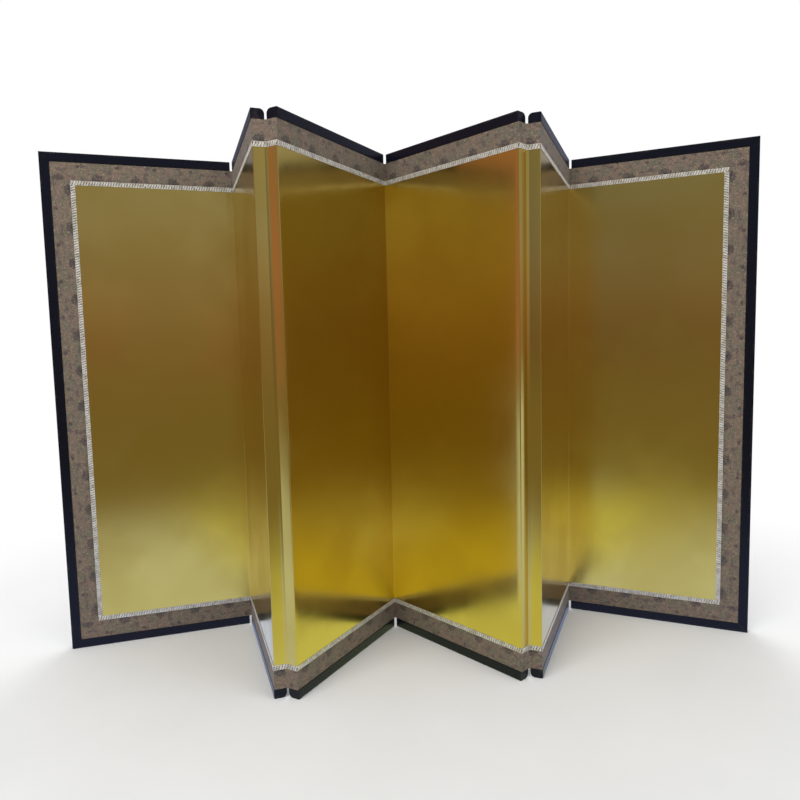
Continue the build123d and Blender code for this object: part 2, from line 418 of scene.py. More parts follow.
def straight_path(leaf: Leaf, face: Face, u0: float, u1: float, n: float, pitch: float) -> Plan:
    """A flat run across a panel, outside on the right.

    Args:
        leaf: the panel.
        face: the face that it runs across.
        u0: where it starts along the panel.
        u1: where it ends.
        n: how far through the panel it lies.
        pitch: the longest run between two points.

    Returns:
        The path on the floor plan.
    """
    u = steps(u0, u1, pitch)
    path = leaf.plan(u, np.full(len(u), n))
    return path if face is Face.FRONT else path[::-1]


@dataclass(frozen=True)
class Crease:
    """A strip of one layer that bridges a fold, creased along its middle.

    A spot is a place along and through a panel. Without a depth the two runs keep to the planes of the
    faces and the crease lies where they meet. With one, the crease lies that far behind the fold's line.
    """

    fold: Fold
    left_spot: tuple[float, float]
    right_spot: tuple[float, float]
    facing: Face
    depth: float | None = None
    round_off: float = 0.7 * MM

    def ends(self) -> tuple[np.ndarray, np.ndarray]:
        """Where the strip leaves the left and the right panel.

        Returns:
            The two places on the floor plan.
        """
        left = self.fold.left.plan(*np.array(self.left_spot)[:, None])[0]
        right = self.fold.right.plan(*np.array(self.right_spot)[:, None])[0]
        return left, right

    def _peak(self) -> np.ndarray:
        """Where the crease itself lies.

        Returns:
            The place on the floor plan.
        """
        left, right = self.ends()
        if self.depth is not None:
            mean = self.fold.left.through + self.fold.right.through
            return self.fold.axis + mean / np.linalg.norm(mean) * self.depth
        a, b = self.fold.left.along, self.fold.right.along
        reach = np.linalg.solve(np.stack([a, b], axis=1), right - left)
        return left + a * reach[0]

    def path(self) -> Plan:
        """The strip's outside on the plan.

        Returns:
            The path, with its outside on the right.
        """
        (left, right), peak = self.ends(), self._peak()
        towards_left = (left - peak) / np.linalg.norm(left - peak)
        towards_right = (right - peak) / np.linalg.norm(right - peak)
        near_left, near_right = peak + towards_left * self.round_off, peak + towards_right * self.round_off
        bend_points, lead_points = 6, 4
        t = np.linspace(0.0, 1.0, bend_points)[:, None]
        bend = near_left * (1 - t) ** 2 + peak * 2 * t * (1 - t) + near_right * t**2
        shares = np.linspace(0, 1, lead_points)[:, None]
        lead_in = left + (near_left - left) * shares[:-1]
        lead_out = near_right + (right - near_right) * shares[1:]
        path = np.vstack([lead_in, bend, lead_out])
        return path if self.facing is Face.FRONT else path[::-1]

    def bend(self, obj: bpy.types.Object) -> None:
        """Bakes a finished strip's transform into its mesh.

        Args:
            obj: the strip.
        """
        left, right = self.ends()
        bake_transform(obj)


# ---------------------------------------------------------------------------------------------
# Finishes
# ---------------------------------------------------------------------------------------------


class TreeSketch:
    """A node tree while it is being drawn."""

    def __init__(self, tree: bpy.types.NodeTree) -> None:
        """Takes the tree that the nodes go in."""
        self.tree = tree

    def add(self, kind: str, inputs: dict | None = None, **settings: object) -> bpy.types.Node:
        """Adds a node.

        Args:
            kind: Blender's name for it.
            inputs: a value or socket for each named or numbered input.
            settings: the node's own settings.

        Returns:
            The node.
        """
        node = self.tree.nodes.new(kind)
        for key, value in settings.items():
            setattr(node, key, value)
        for key, value in (inputs or {}).items():
            if isinstance(value, Socket):
                self.join(value, node.inputs[key])
            else:
                node.inputs[key].default_value = value
        return node

    def join(self, source: Socket, target: Socket) -> None:
        """Links two sockets."""
        self.tree.links.new(source, target)

    def math(self, operation: str, *values: object) -> Socket:
        """The result of one sum on numbers or sockets."""
        return self.add("ShaderNodeMath", dict(enumerate(values)), operation=operation).outputs[0]

    def vector_math(self, operation: str, inputs: dict) -> Socket:
        """The vector that comes of one sum on vectors."""
        return self.add("ShaderNodeVectorMath", inputs, operation=operation).outputs[0]

    def band(
        self,
        value: object,
        low: float,
        high: float,
        to_low: float = 0.0,
        to_high: float = 1.0,
        eased: bool = True,
    ) -> Socket:
        """Takes a value from one range to another, eased at both ends or straight.

        Args:
            value: a number or socket.
            low: where the first range starts.
            high: where it ends.
            to_low: what its start becomes.
            to_high: what its end becomes.
            eased: whether the way between is an easy curve.

        Returns:
            The value in its new range.
        """
        return self.add(
            "ShaderNodeMapRange",
            {"Value": value, "From Min": low, "From Max": high, "To Min": to_low, "To Max": to_high},
            interpolation_type="SMOOTHSTEP" if eased else "LINEAR",
        ).outputs[0]

    def mix(self, share: object, first: object, second: object) -> Socket:
        """Mixes two colours."""
        return self.add("ShaderNodeMix", {0: share, 6: first, 7: second}, data_type="RGBA").outputs[2]

    def choose(self, share: Socket, first: bpy.types.Node, second: bpy.types.Node) -> bpy.types.Node:
        """Mixes two shaders."""
        return self.add("ShaderNodeMixShader", {0: share, 1: first.outputs[0], 2: second.outputs[0]})


class NodeSketch(TreeSketch):
    """A material's node tree while it is being drawn."""

    def __init__(self, name: str) -> None:
        """Starts an empty material with a Principled shader.

        Args:
            name: the material's name.
        """
        self.material = bpy.data.materials.new(name)
        self.material.use_nodes = True
        super().__init__(self.material.node_tree)
        self.tree.nodes.clear()
        self.shader = self.add("ShaderNodeBsdfPrincipled")
        self.output = self.add("ShaderNodeOutputMaterial")
        self.join(self.shader.outputs["BSDF"], self.output.inputs["Surface"])

    def noise(self, where: Socket, scale: float, detail: float = 2.0) -> Socket:
        """A noise value from 0 to 1, at a scale in waves per metre."""
        inputs = {"Vector": where, "Scale": scale, "Detail": detail}
        return self.add("ShaderNodeTexNoise", inputs).outputs["Fac"]

    def place(self, scale: tuple[float, float, float] = (1.0, 1.0, 1.0), cloth: bool = False) -> Socket:
        """Object coordinates, or the cloth's own lengthways and upward metres, stretched by a scale."""
        source = self.add("ShaderNodeTexCoord").outputs["UV" if cloth else "Object"]
        return self.add("ShaderNodeMapping", {"Vector": source, "Scale": scale}).outputs[0]

    def bump(
        self, height: Socket, distance: float, strength: float = 1.0, under: Socket | None = None
    ) -> Socket:
        """A bump from a height, on top of another one if there is one.

        Args:
            height: the height to follow.
            distance: how high it rises, in metres.
            strength: how strongly it tells.
            under: the bump that it lies on.

        Returns:
            The bent normal.
        """
        inputs = {"Height": height, "Distance": distance, "Strength": strength}
        if under is not None:
            inputs["Normal"] = under
        return self.add("ShaderNodeBump", inputs).outputs[0]

    def set(self, **values: object) -> None:
        """Sets the shader's own sockets, with spaces written as underscores."""
        for key, value in values.items():
            socket = self.shader.inputs[key.replace("_", " ")]
            if isinstance(value, Socket):
                self.join(value, socket)
            else:
                socket.default_value = value


@dataclass(frozen=True)
class GoldPaper:
    """Paper faced with polished gold foil: soft mirror, fine tooth, faint cloudy tarnish."""

    name: str = "gold_foil_paper"
    bright: Colour = (0.83, 0.63, 0.150, 1.0)
    aged: Colour = (0.77, 0.56, 0.116, 1.0)

    def material(self) -> bpy.types.Material:
        """Draws the finish.

        Returns:
            The material.
        """
        sketch = NodeSketch(self.name)
        place = sketch.place()
        cloud = sketch.band(sketch.noise(place, 5.0, 4.0), 0.35, 0.7)
        tooth = sketch.noise(place, 420.0, 3.0)
        drift = sketch.noise(sketch.place((1.0, 1.0, 0.25)), 60.0, 2.0)
        colour = sketch.mix(sketch.math("MULTIPLY", cloud, 0.7), self.bright, self.aged)
        dulled = sketch.math("ADD", sketch.math("MULTIPLY", tooth, 0.5), cloud)
        rough = sketch.band(dulled, 0.2, 1.2, 0.16, 0.25)
        wave = sketch.bump(drift, 0.5 * MM, 0.10)
        grain = sketch.bump(tooth, 0.15 * MM, 0.16, wave)
        sketch.set(Base_Color=colour, Metallic=1.0, Roughness=rough, Normal=grain)
        return sketch.material


@dataclass(frozen=True)
class BlackLacquer:
    """Satin black lacquer over wood, rubbed a little at its edges."""

    name: str = "black_lacquer"
    ground: Colour = (0.0035, 0.0042, 0.0095, 1.0)
    rubbed: Colour = (0.040, 0.028, 0.024, 1.0)

    def material(self) -> bpy.types.Material:
        """Draws the finish.

        Returns:
            The material.
        """
        sketch = NodeSketch(self.name)
        place = sketch.place()
        wear = sketch.add("ShaderNodeAttribute", attribute_name="wear").outputs["Fac"]
        patchy = sketch.band(sketch.noise(place, 45.0, 5.0), 0.50, 0.72)
        rubbed = sketch.math("MULTIPLY", wear, patchy)
        brushed = sketch.noise(place, 260.0, 3.0)
        sketch.set(
            Base_Color=sketch.mix(sketch.math("MULTIPLY", rubbed, 0.8), self.ground, self.rubbed),
            Roughness=sketch.band(sketch.math("ADD", brushed, rubbed), 0.2, 1.5, 0.26, 0.50),
            Specular_IOR_Level=0.22,
            Normal=sketch.bump(brushed, 0.06 * MM, 0.30),
        )
        return sketch.material


@dataclass(frozen=True)
class BrocadeCloth:
    """Faded taupe silk brocade: dark half rosettes along its inner edge, small buds along its outer one."""

    name: str = "taupe_brocade"
    ground: Colour = (0.178, 0.128, 0.093, 1.0)
    pale: Colour = (0.290, 0.225, 0.150, 1.0)
    olive: Colour = (0.136, 0.120, 0.083, 1.0)
    plum: Colour = (0.092, 0.060, 0.064, 1.0)
    dark: Colour = (0.034, 0.025, 0.030, 1.0)
    repeat: float = 86 * MM
    width: float = 42 * MM
    rosette: float = 14.5 * MM
    bud: float = 4.5 * MM

    def _figure(
        self, sketch: NodeSketch, along: Socket, up: Socket, shift: float, row: float, radius: float
    ) -> tuple[Socket, Socket]:
        """One row of round petalled figures.

        Args:
            sketch: the material being drawn.
            along: metres along the cloth.
            up: metres across it.
            shift: the row's offset, as a share of the repeat.
            row: the row's height across the cloth, in metres.
            radius: of a figure.

        Returns:
            The figures' strength, soft at the rim, and that of the paler ring inside each.
        """
        turn = sketch.math("ADD", sketch.math("DIVIDE", along, self.repeat), shift)
        across = sketch.math("SUBTRACT", sketch.math("FRACT", turn), 0.5)
        dx = sketch.math("MULTIPLY", across, self.repeat)
        dy = sketch.math("SUBTRACT", up, row)
        squares = sketch.math("ADD", sketch.math("POWER", dx, 2.0), sketch.math("POWER", dy, 2.0))
        reach = sketch.math("SQRT", squares)
        petals = sketch.math("COSINE", sketch.math("MULTIPLY", sketch.math("ARCTAN2", dy, dx), 10.0))
        edge = sketch.math("ADD", reach, sketch.math("MULTIPLY", petals, 0.09 * radius))
        whole = sketch.band(edge, 0.72 * radius, 1.08 * radius, 1.0, 0.0)
        ring_gap = sketch.math("ABSOLUTE", sketch.math("SUBTRACT", edge, 0.55 * radius))
        return whole, sketch.band(ring_gap, 0.04 * radius, 0.20 * radius, 1.0, 0.0)

    @staticmethod
    def _wobbled(sketch: NodeSketch, cloth: Socket) -> Socket:
        """The cloth's own coordinates, nudged about so that its figures aren't drawn too evenly.

        Args:
            sketch: the material being drawn.
            cloth: metres along and up the cloth.

        Returns:
            The nudged coordinates.
        """
        inputs = {"Vector": cloth, "Scale": 90.0, "Detail": 3.0}
        wobble = sketch.add("ShaderNodeTexNoise", inputs).outputs["Color"]
        centred = sketch.vector_math("SUBTRACT", {0: wobble, 1: (0.5, 0.5, 0.5)})
        shift = sketch.vector_math("SCALE", {0: centred, "Scale": 9.0 * MM})
        return sketch.vector_math("ADD", {0: cloth, 1: shift})

    def material(self) -> bpy.types.Material:
        """Draws the finish.

        Returns:
            The material.
        """
        sketch = NodeSketch(self.name)
        cloth = sketch.place(cloth=True)
        parts = sketch.add("ShaderNodeSeparateXYZ", {0: self._wobbled(sketch, cloth)})
        along, up = parts.outputs[0], parts.outputs[1]
        rosettes, pale_rings = self._figure(sketch, along, up, 0.0, 0.98 * self.width, self.rosette)
        buds, _ = self._figure(sketch, along, up, 0.5, 0.20 * self.width, self.bud)
        olive_clouds = sketch.band(sketch.noise(cloth, 38.0, 3.0), 0.42, 0.62)
        squeezed = sketch.place((1.0, 1.4, 1.0), cloth=True)
        plum_clouds = sketch.band(sketch.noise(squeezed, 61.0, 4.0), 0.50, 0.68)
        fade = sketch.band(sketch.noise(cloth, 210.0, 3.0), 0.30, 0.65, 0.45, 1.0)
        flecks = sketch.noise(cloth, 420.0, 3.0)
        sprigs = sketch.band(sketch.noise(cloth, 170.0, 2.0), 0.52, 0.64)
        colour = sketch.mix(olive_clouds, self.ground, self.olive)
        colour = sketch.mix(sketch.math("MULTIPLY", sprigs, 0.55), colour, self.pale)
        colour = sketch.mix(sketch.math("MULTIPLY", plum_clouds, 0.75), colour, self.plum)
        solid = sketch.math("SUBTRACT", rosettes, sketch.math("MULTIPLY", pale_rings, 0.40))
        figures = sketch.math("MAXIMUM", solid, sketch.math("MULTIPLY", buds, 0.9))
        figures = sketch.math("MULTIPLY", figures, fade)
        colour = sketch.mix(sketch.math("MULTIPLY", figures, 0.92), colour, self.dark)
        shade = sketch.add("ShaderNodeHueSaturation", {"Value": sketch.band(flecks, 0.33, 0.67, 0.62, 1.30)})
        sketch.join(colour, shade.inputs["Color"])
        thread = 2 * math.pi / (0.55 * MM)
        warp = sketch.math("SINE", sketch.math("MULTIPLY", sketch.math("ADD", along, up), thread))
        weft = sketch.math("SINE", sketch.math("MULTIPLY", sketch.math("SUBTRACT", along, up), thread * 0.5))
        weave = sketch.math("ADD", sketch.math("MULTIPLY", warp, 0.5), sketch.math("MULTIPLY", weft, 0.3))
        raised = sketch.math("ADD", weave, sketch.math("MULTIPLY", figures, 0.8))
        sketch.set(
            Base_Color=shade.outputs[0],
            Roughness=sketch.band(raised, -0.8, 1.6, 0.75, 0.52),
            Sheen_Weight=0.12,
            Sheen_Roughness=0.4,
            Normal=sketch.bump(raised, 0.12 * MM, 0.7),
        )
        return sketch.material


@dataclass(frozen=True)
class SilverThread:
    """Silver-wrapped thread, slightly tarnished between its turns."""

    name: str = "silver_thread"
    bright: Colour = (0.72, 0.69, 0.62, 1.0)
    dull: Colour = (0.50, 0.46, 0.38, 1.0)

    def material(self) -> bpy.types.Material:
        """Draws the finish.

        Returns:
            The material.
        """
        sketch = NodeSketch(self.name)
        place = sketch.place()
        tone = sketch.noise(place, 650.0, 3.0)
        clumps = sketch.noise(place, 110.0, 2.0)
        both = sketch.math("ADD", sketch.math("MULTIPLY", tone, 0.2), sketch.math("MULTIPLY", clumps, 0.8))
        sketch.set(
            Base_Color=sketch.mix(sketch.band(both, 0.36, 0.60), self.dull, self.bright),
            Metallic=0.35,
            Roughness=sketch.band(tone, 0.3, 0.7, 0.32, 0.50),
            Normal=sketch.bump(tone, 0.12 * MM, 0.35),
        )
        return sketch.material


@dataclass(frozen=True)
class BackingPaper:
    """Matt dyed paper block-printed with a small diamond figure."""

    name: str = "printed_backing_paper"
    ground: Colour = (0.105, 0.098, 0.062, 1.0)
    print_colour: Colour = (0.185, 0.168, 0.105, 1.0)
    figure: float = 26 * MM

    def material(self) -> bpy.types.Material:
        """Draws the finish.

        Returns:
            The material.
        """
        sketch = NodeSketch(self.name)
        paper = sketch.place(cloth=True)
        parts = sketch.add("ShaderNodeSeparateXYZ", {0: paper})
        along, up = parts.outputs[0], parts.outputs[1]
        lean = sketch.math("MULTIPLY", up, 0.6)
        cells = []
        for join in ("ADD", "SUBTRACT"):
            slant = sketch.math("DIVIDE", sketch.math(join, along, lean), self.figure)
            cells.append(sketch.math("ABSOLUTE", sketch.math("SUBTRACT", sketch.math("FRACT", slant), 0.5)))
        line = sketch.band(sketch.math("MAXIMUM", *cells), 0.43, 0.47)
        seed = sketch.band(sketch.math("ADD", *cells), 0.10, 0.16, 1.0, 0.0)
        faded = sketch.band(sketch.noise(paper, 30.0, 4.0), 0.3, 0.7, 0.35, 0.9)
        figure = sketch.math("MULTIPLY", sketch.math("MAXIMUM", line, seed), faded)
        fibre = sketch.noise(sketch.place((1.0, 1.0, 5.0)), 160.0, 4.0)
        colour = sketch.mix(figure, self.ground, self.print_colour)
        shade = sketch.add("ShaderNodeHueSaturation", {"Value": sketch.band(fibre, 0.3, 0.7, 0.86, 1.12)})
        sketch.join(colour, shade.inputs["Color"])
        sketch.set(
            Base_Color=shade.outputs[0],
            Roughness=sketch.band(fibre, 0.3, 0.7, 0.78, 0.90),
            Normal=sketch.bump(fibre, 0.10 * MM, 0.35),
        )
        return sketch.material


@dataclass(frozen=True)
class FibrePaper:
    """Tough long-fibred paper of the hinges, toned to match the gold."""

    name: str = "hinge_fibre_paper"
    pale: Colour = (0.42, 0.31, 0.13, 1.0)
    deep: Colour = (0.26, 0.18, 0.07, 1.0)

    def material(self) -> bpy.types.Material:
        """Draws the finish.

        Returns:
            The material.
        """
        sketch = NodeSketch(self.name)
        fibre = sketch.noise(sketch.place((1.0, 1.0, 0.15)), 300.0, 5.0)
        sketch.set(
            Base_Color=sketch.mix(fibre, self.deep, self.pale),
            Roughness=sketch.band(fibre, 0.3, 0.7, 0.55, 0.75),
            Normal=sketch.bump(fibre, 0.10 * MM, 0.5),
        )
        return sketch.material


@dataclass(frozen=True)
class PlanedCedar:
    """Planed cedar with long straight grain."""

    name: str = "planed_cedar"
    early: Colour = (0.56, 0.34, 0.19, 1.0)
    late: Colour = (0.34, 0.17, 0.08, 1.0)

    def material(self) -> bpy.types.Material:
        """Draws the finish.

        Returns:
            The material.
        """
        sketch = NodeSketch(self.name)
        place = sketch.place((1.0, 1.0, 0.06))
        grain = sketch.noise(place, 260.0, 4.0)
        rings = sketch.noise(place, 70.0, 2.0)
        figure = sketch.band(sketch.math("ADD", grain, rings), 0.7, 1.3)
        sketch.set(
            Base_Color=sketch.mix(figure, self.early, self.late),
            Roughness=sketch.band(grain, 0.3, 0.7, 0.55, 0.70),
            Normal=sketch.bump(grain, 0.15 * MM, 0.4),
        )
        return sketch.material


@dataclass(frozen=True)
class NailIron:
    """Dull forged nail iron."""

    name: str = "nail_iron"
    bare: Colour = (0.30, 0.30, 0.31, 1.0)
    dark: Colour = (0.10, 0.085, 0.075, 1.0)

    def material(self) -> bpy.types.Material:
        """Draws the finish.

        Returns:
            The material.
        """
        sketch = NodeSketch(self.name)
        scale = sketch.noise(sketch.place(), 800.0, 3.0)
        sketch.set(
            Base_Color=sketch.mix(sketch.band(scale, 0.4, 0.65), self.bare, self.dark),
            Metallic=0.9,
            Roughness=sketch.band(scale, 0.3, 0.7, 0.40, 0.60),
            Normal=sketch.bump(scale, 0.05 * MM, 0.5),
        )
        return sketch.material


# ---------------------------------------------------------------------------------------------
# Paper, cloth and hinges
# ---------------------------------------------------------------------------------------------

WING = 22 * MM  # how far a hinge wing reaches over the face it is pasted to
WING_FADE = 1 * MM  # half the width over which its edge shows through the gold
SECTIONS = 6  # hinge sections from the foot of a fold to its head
JUST_UNDER_ONE = 0.9999  # keeps the very top edge in the last section


@dataclass(frozen=True)
class PaperSkins:
    """The gold paper in front of each panel and the backing paper behind it."""

    gold: bpy.types.Material
    backing: bpy.types.Material
    thickness: float = 0.5 * MM
    corner: float = 1.6 * MM
    pitch: float = 12 * MM
    ripple: float = 0.10 * MM
    telegraph: float = 0.06 * MM
    ridge_depth: float = 1.1 * MM

    def _relief(self, leaf: Leaf, face: Face, width: float, low: float, high: float) -> Callable:
        """A slow unevenness that dies away at the edges, and the hinge wings that show through the gold.

        Args:
            leaf: the panel, which sets where its waves fall.
            face: the face that the sheet covers.
            width: length of the sheet's path.
            low: its lower edge.
            high: its upper edge.

        Returns:
            A function of place along and height that gives the rise.
        """
        draw = np.random.default_rng(40 + leaf.number)
        full_turn, wave_count = 6.28, 5
        waves = [
            (draw.uniform(9, 26), draw.uniform(5, 16), draw.uniform(0, full_turn)) for _ in range(wave_count)
        ]
        margin = 60 * MM

        def rise(along: np.ndarray, z: np.ndarray) -> np.ndarray:
            """The rise at places along the path and at heights.

            Args:
                along: metres along the path.
                z: heights.

            Returns:
                The rise at each place and height.
            """
            total = sum(np.sin(a * along + b * z + c) for a, b, c in waves) / len(waves)
            edge = np.minimum(np.minimum(along, width - along), np.minimum(z - low, high - z)) / margin
            lift = self.ripple * total * np.clip(edge, 0.0, 1.0)
            if face is Face.FRONT:
                section = np.floor((z - low) / (high - low) * SECTIONS * JUST_UNDER_ONE)
                for side, on_left in leaf.sides():
                    if side is Side.VALLEY:
                        reach = along if on_left else width - along
                        under = np.clip((WING + WING_FADE - reach) / (2 * WING_FADE), 0.0, 1.0)
                        lift = lift + self.telegraph * under * ((section % 2 == 0) == on_left)
            return lift

        return rise

    def build(self, leaf: Leaf) -> list[bpy.types.Object]:
        """Makes the two skins of one panel.

        Args:
            leaf: the panel.

        Returns:
            The gold paper and the backing paper.
        """
        made = []
        for piece, face, finish, slot in (
            ("gold_paper", Face.FRONT, self.gold, "gold_paper"),
            ("back_paper", Face.BACK, self.backing, "backing_paper"),
        ):
            size = leaf.extent(piece)
            marks = (WING - WING_FADE, WING + WING_FADE)
            path = wrapped_path(leaf, face, size, self.corner, self.pitch, marks)
            relief = self._relief(leaf, face, arc_lengths(path)[-1], size.z0, size.z1)
            sheet = Sheet(path, self.thickness, size.z0, size.z1, self.pitch, relief)
            obj = sheets_object(leaf.node(f"{piece}_skin"), [sheet], finish)
            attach(obj, leaf.body)
            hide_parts(leaf.node(piece))
            made.append(obj)
        return made

    def bridge(self, fold: Fold) -> list[bpy.types.Object]:
        """Makes the strips of gold and of backing paper that run on across a fold.

        Args:
            fold: the fold.

        Returns:
            The gold strip in front and the backing strip behind.
        """
        left, right = fold.left.extent("back_paper"), fold.right.extent("back_paper")
        if fold.kind is Side.VALLEY:
            under = self.thickness
            front = valley_crease(fold, "gold_paper", 0.0)
            rear = Crease(fold, (left.u1, left.n0 + under), (right.u0, right.n0 + under), Face.BACK)
        else:
            front = ridge_crease(fold, "gold_paper", Face.FRONT, 0.0)
            rear = ridge_crease(fold, "back_paper", Face.BACK, self.ridge_depth, self.thickness)
        made = []
        for piece, crease, finish, slot in (
            ("gold_paper", front, self.gold, "gold_paper"),
            ("back_paper", rear, self.backing, "backing_paper"),
        ):
            size = fold.left.extent(piece)
            sheet = Sheet(crease.path(), self.thickness, size.z0, size.z1, self.pitch)
            obj = sheets_object(f"{fold.label}_{piece}_crease", [sheet], finish)
            crease.bend(obj)
            made.append(obj)
        return made


def valley_crease(fold: Fold, piece: str, below: float) -> Crease:
    """The strip that bridges a valley in the plane of a layer of the front, or a depth below it.

    Args:
        fold: the fold.
        piece: the node whose outside gives the plane.
        below: how far under that plane the strip's outside lies.

    Returns:
        The strip's shape.
    """
    left, right = fold.left.extent(piece), fold.right.extent(piece)
    return Crease(fold, (left.u1, left.n0 + below), (right.u0, right.n0 + below), Face.FRONT)


def ridge_crease(fold: Fold, piece: str, facing: Face, depth: float, inset: float = 0.0) -> Crease:
    """The strip that bridges a ridge from the back edge of a layer to that of its neighbour.

    Args:
        fold: the fold.
        piece: the node whose back edge gives the strip's ends.
        facing: the face that the strip's outside looks to.
        depth: how far the crease lies behind the fold's line.
        inset: how far inside the panels' side planes the strip starts.

    Returns:
        The strip's shape.
    """
    left, right = fold.left.extent(piece), fold.right.extent(piece)
    return Crease(fold, (left.u1 - inset, left.n1), (right.u0 + inset, right.n1), facing, depth)


@dataclass(frozen=True)
class HingePaper:
    """The paper hinges: wings pasted in turn to faces and sides, and the strip that flexes between them."""

    finish: bpy.types.Material
    thickness: float = 0.4 * MM
    skin: float = 0.5 * MM
    cut: float = 1.0 * MM
    ridge_depth: float = 0.15 * MM
    pitch: float = 30 * MM

    def _levels(self, low: float, high: float) -> list[tuple[float, float]]:
        """The bottom and top of each section."""
        edges = np.linspace(low, high, SECTIONS + 1)
        return [(a + self.cut / 2, b - self.cut / 2) for a, b in zip(edges, edges[1:])]

    def wings(self, leaf: Leaf) -> bpy.types.Object:
        """The pasted wings of one panel.

        Args:
            leaf: the panel.

        Returns:
            One object of separate sheets.
        """
        gold, backing = leaf.extent("gold_paper"), leaf.extent("back_paper")
        sheets = []
        for side, on_left in leaf.sides():
            if side is Side.STILE:
                continue
            face = Face.FRONT if side is Side.VALLEY else Face.BACK
            plane = gold.n0 + self.skin if face is Face.FRONT else backing.n1 - self.skin
            far = backing.n1 - self.skin if face is Face.FRONT else gold.n0 + self.skin
            inward = 1.0 if on_left else -1.0
            edge = gold.u0 if on_left else gold.u1
            for section, (low, high) in enumerate(self._levels(gold.z0, gold.z1)):
                if (section % 2 == 0) == on_left:
                    ends = sorted((edge, edge + inward * WING))
                    path = straight_path(leaf, face, *ends, plane, WING)
                else:
                    side_u = edge + inward * self.skin
                    ends = sorted((plane, far), reverse=on_left)
                    path = leaf.plan(np.array([side_u, side_u]), np.array(ends))
                sheets.append(Sheet(path, self.thickness, low, high, self.pitch))
        obj = sheets_object(leaf.node("hinge_wings"), sheets, self.finish)
        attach(obj, leaf.body)
        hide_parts(leaf.node("hinge_paper"))
        return obj

    def flex(self, fold: Fold) -> bpy.types.Object:
        """The strip that flexes at a fold, just under the skin that covers it.

        Args:
            fold: the fold.

        Returns:
            One object with a strip for each section.
        """
        size = fold.left.extent("gold_paper")
        crease = valley_crease(fold, "gold_paper", self.skin)
        if fold.kind is Side.RIDGE:
            crease = ridge_crease(fold, "gold_paper", Face.FRONT, self.ridge_depth, self.skin)
        levels = self._levels(size.z0, size.z1)
        sheets = [Sheet(crease.path(), self.thickness, low, high, self.pitch) for low, high in levels]
        obj = sheets_object(f"{fold.label}_hinge_flex", sheets, self.finish)
        crease.bend(obj)
        return obj


@dataclass(frozen=True)
class BrocadeBorder:
    """The brocade strips along the top, the bottom and the outer sides."""

    finish: bpy.types.Material
    width: float = 42 * MM
    thickness: float = 0.5 * MM
    corner: float = 2.1 * MM
    pitch: float = 7 * MM
    puff: float = 0.12 * MM
    ridge_depth: float = -0.5 * MM
    pattern_step: float = 0.37
    upright_start: float = 0.1

    def _relief(self, low: float, high: float) -> Callable:
        """A slight fullness across the strip, pressed down at both edges.

        Args:
            low: the strip's lower edge.
            high: its upper edge.

        Returns:
            A function of place along and height that gives the rise.
        """

        def rise(along: np.ndarray, z: np.ndarray) -> np.ndarray:
            """The rise at heights, the same at every place along the path."""
            across = np.clip((z - low) / (high - low), 0.0, 1.0)
            return self.puff * np.sin(math.pi * across) ** 0.5 + 0.0 * along

        return rise

    def _runs(self, leaf: Leaf) -> list[tuple[float, float, bool]]:
        """Bottom and top of the lower and the upper strip, and whether it hangs from its upper edge."""
        size = leaf.extent("brocade")
        return [(size.z0, size.z0 + self.width, False), (size.z1 - self.width, size.z1, True)]

    def build(self, leaf: Leaf) -> bpy.types.Object:
        """Makes the brocade of one panel.

        Args:
            leaf: the panel.

        Returns:
            One object of its strips.
        """
        size = leaf.extent("brocade")
        path = wrapped_path(leaf, Face.FRONT, size, self.corner, self.pitch)
        strips = self._strips(leaf, path, self.pattern_step * leaf.number)
        obj = sheets_object(leaf.node("brocade_border"), strips, self.finish)
        uprights = stood_up(leaf, size, self.width, self.pitch, self._lying)
        if uprights:
            join_meshes(obj, uprights)
        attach(obj, leaf.body)
        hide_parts(leaf.node("brocade"))
        return obj

    def _strips(self, leaf: Leaf, path: Plan, start: float) -> list[Sheet]:
        """The lower and the upper strip along a plan path.

        Args:
            leaf: the panel that gives their heights.
            path: their outside on the plan.
            start: where along the cloth's pattern they begin, in metres.

        Returns:
            The two strips.
        """
        return [
            Sheet(path, self.thickness, low, high, self.pitch, self._relief(low, high), start, hung)
            for low, high, hung in self._runs(leaf)
        ]

    def _lying(self, path: Plan) -> bpy.types.Object:
        """An upright strip while it still lies down, so that its pattern runs along it.

        Args:
            path: its level path.

        Returns:
            The strip.
        """
        relief = self._relief(0.0, self.width)
        strip = Sheet(path, self.thickness, 0.0, self.width, self.pitch, relief, start=self.upright_start)
        return sheets_object("upright_strip", [strip], self.finish)

    def bridge(self, fold: Fold) -> bpy.types.Object:
        """The brocade that runs on across a fold.

        Args:
            fold: the fold.

        Returns:
            One object of its lower and its upper strip.
        """
        crease = valley_crease(fold, "brocade", 0.0)
        if fold.kind is Side.RIDGE:
            crease = ridge_crease(fold, "brocade", Face.FRONT, self.ridge_depth)
        path = crease.path()
        start = self.pattern_step * fold.right.number - arc_lengths(path)[-1]
        obj = sheets_object(
            f"{fold.label}_brocade_crease", self._strips(fold.left, path, start), self.finish
        )
        crease.bend(obj)
        return obj


def stand_up(leaf: Leaf, on_left: bool, outer_u: float, front_n: float, low: float) -> Matrix:
    """Turns a strip that was made lying along X, facing -Y, so that it stands beside an end stile.

    Args:
        leaf: the panel.
        on_left: whether the stile is on the left.
        outer_u: the strip's outer edge.
        front_n: its front.
        low: its foot.

    Returns:
        The transform. On the left it mirrors the strip, so its faces are flipped after it.
    """
    inward = leaf.along if on_left else -leaf.along
    corner = leaf.plan(np.array([outer_u]), np.array([front_n]))[0]
    turn = Matrix.Identity(4)
    for column, axis in enumerate(((0.0, 0.0, 1.0), (*leaf.through, 0.0), (*inward, 0.0), (*corner, low))):
        for row, value in enumerate(axis):
            turn[row][column] = value
    return turn


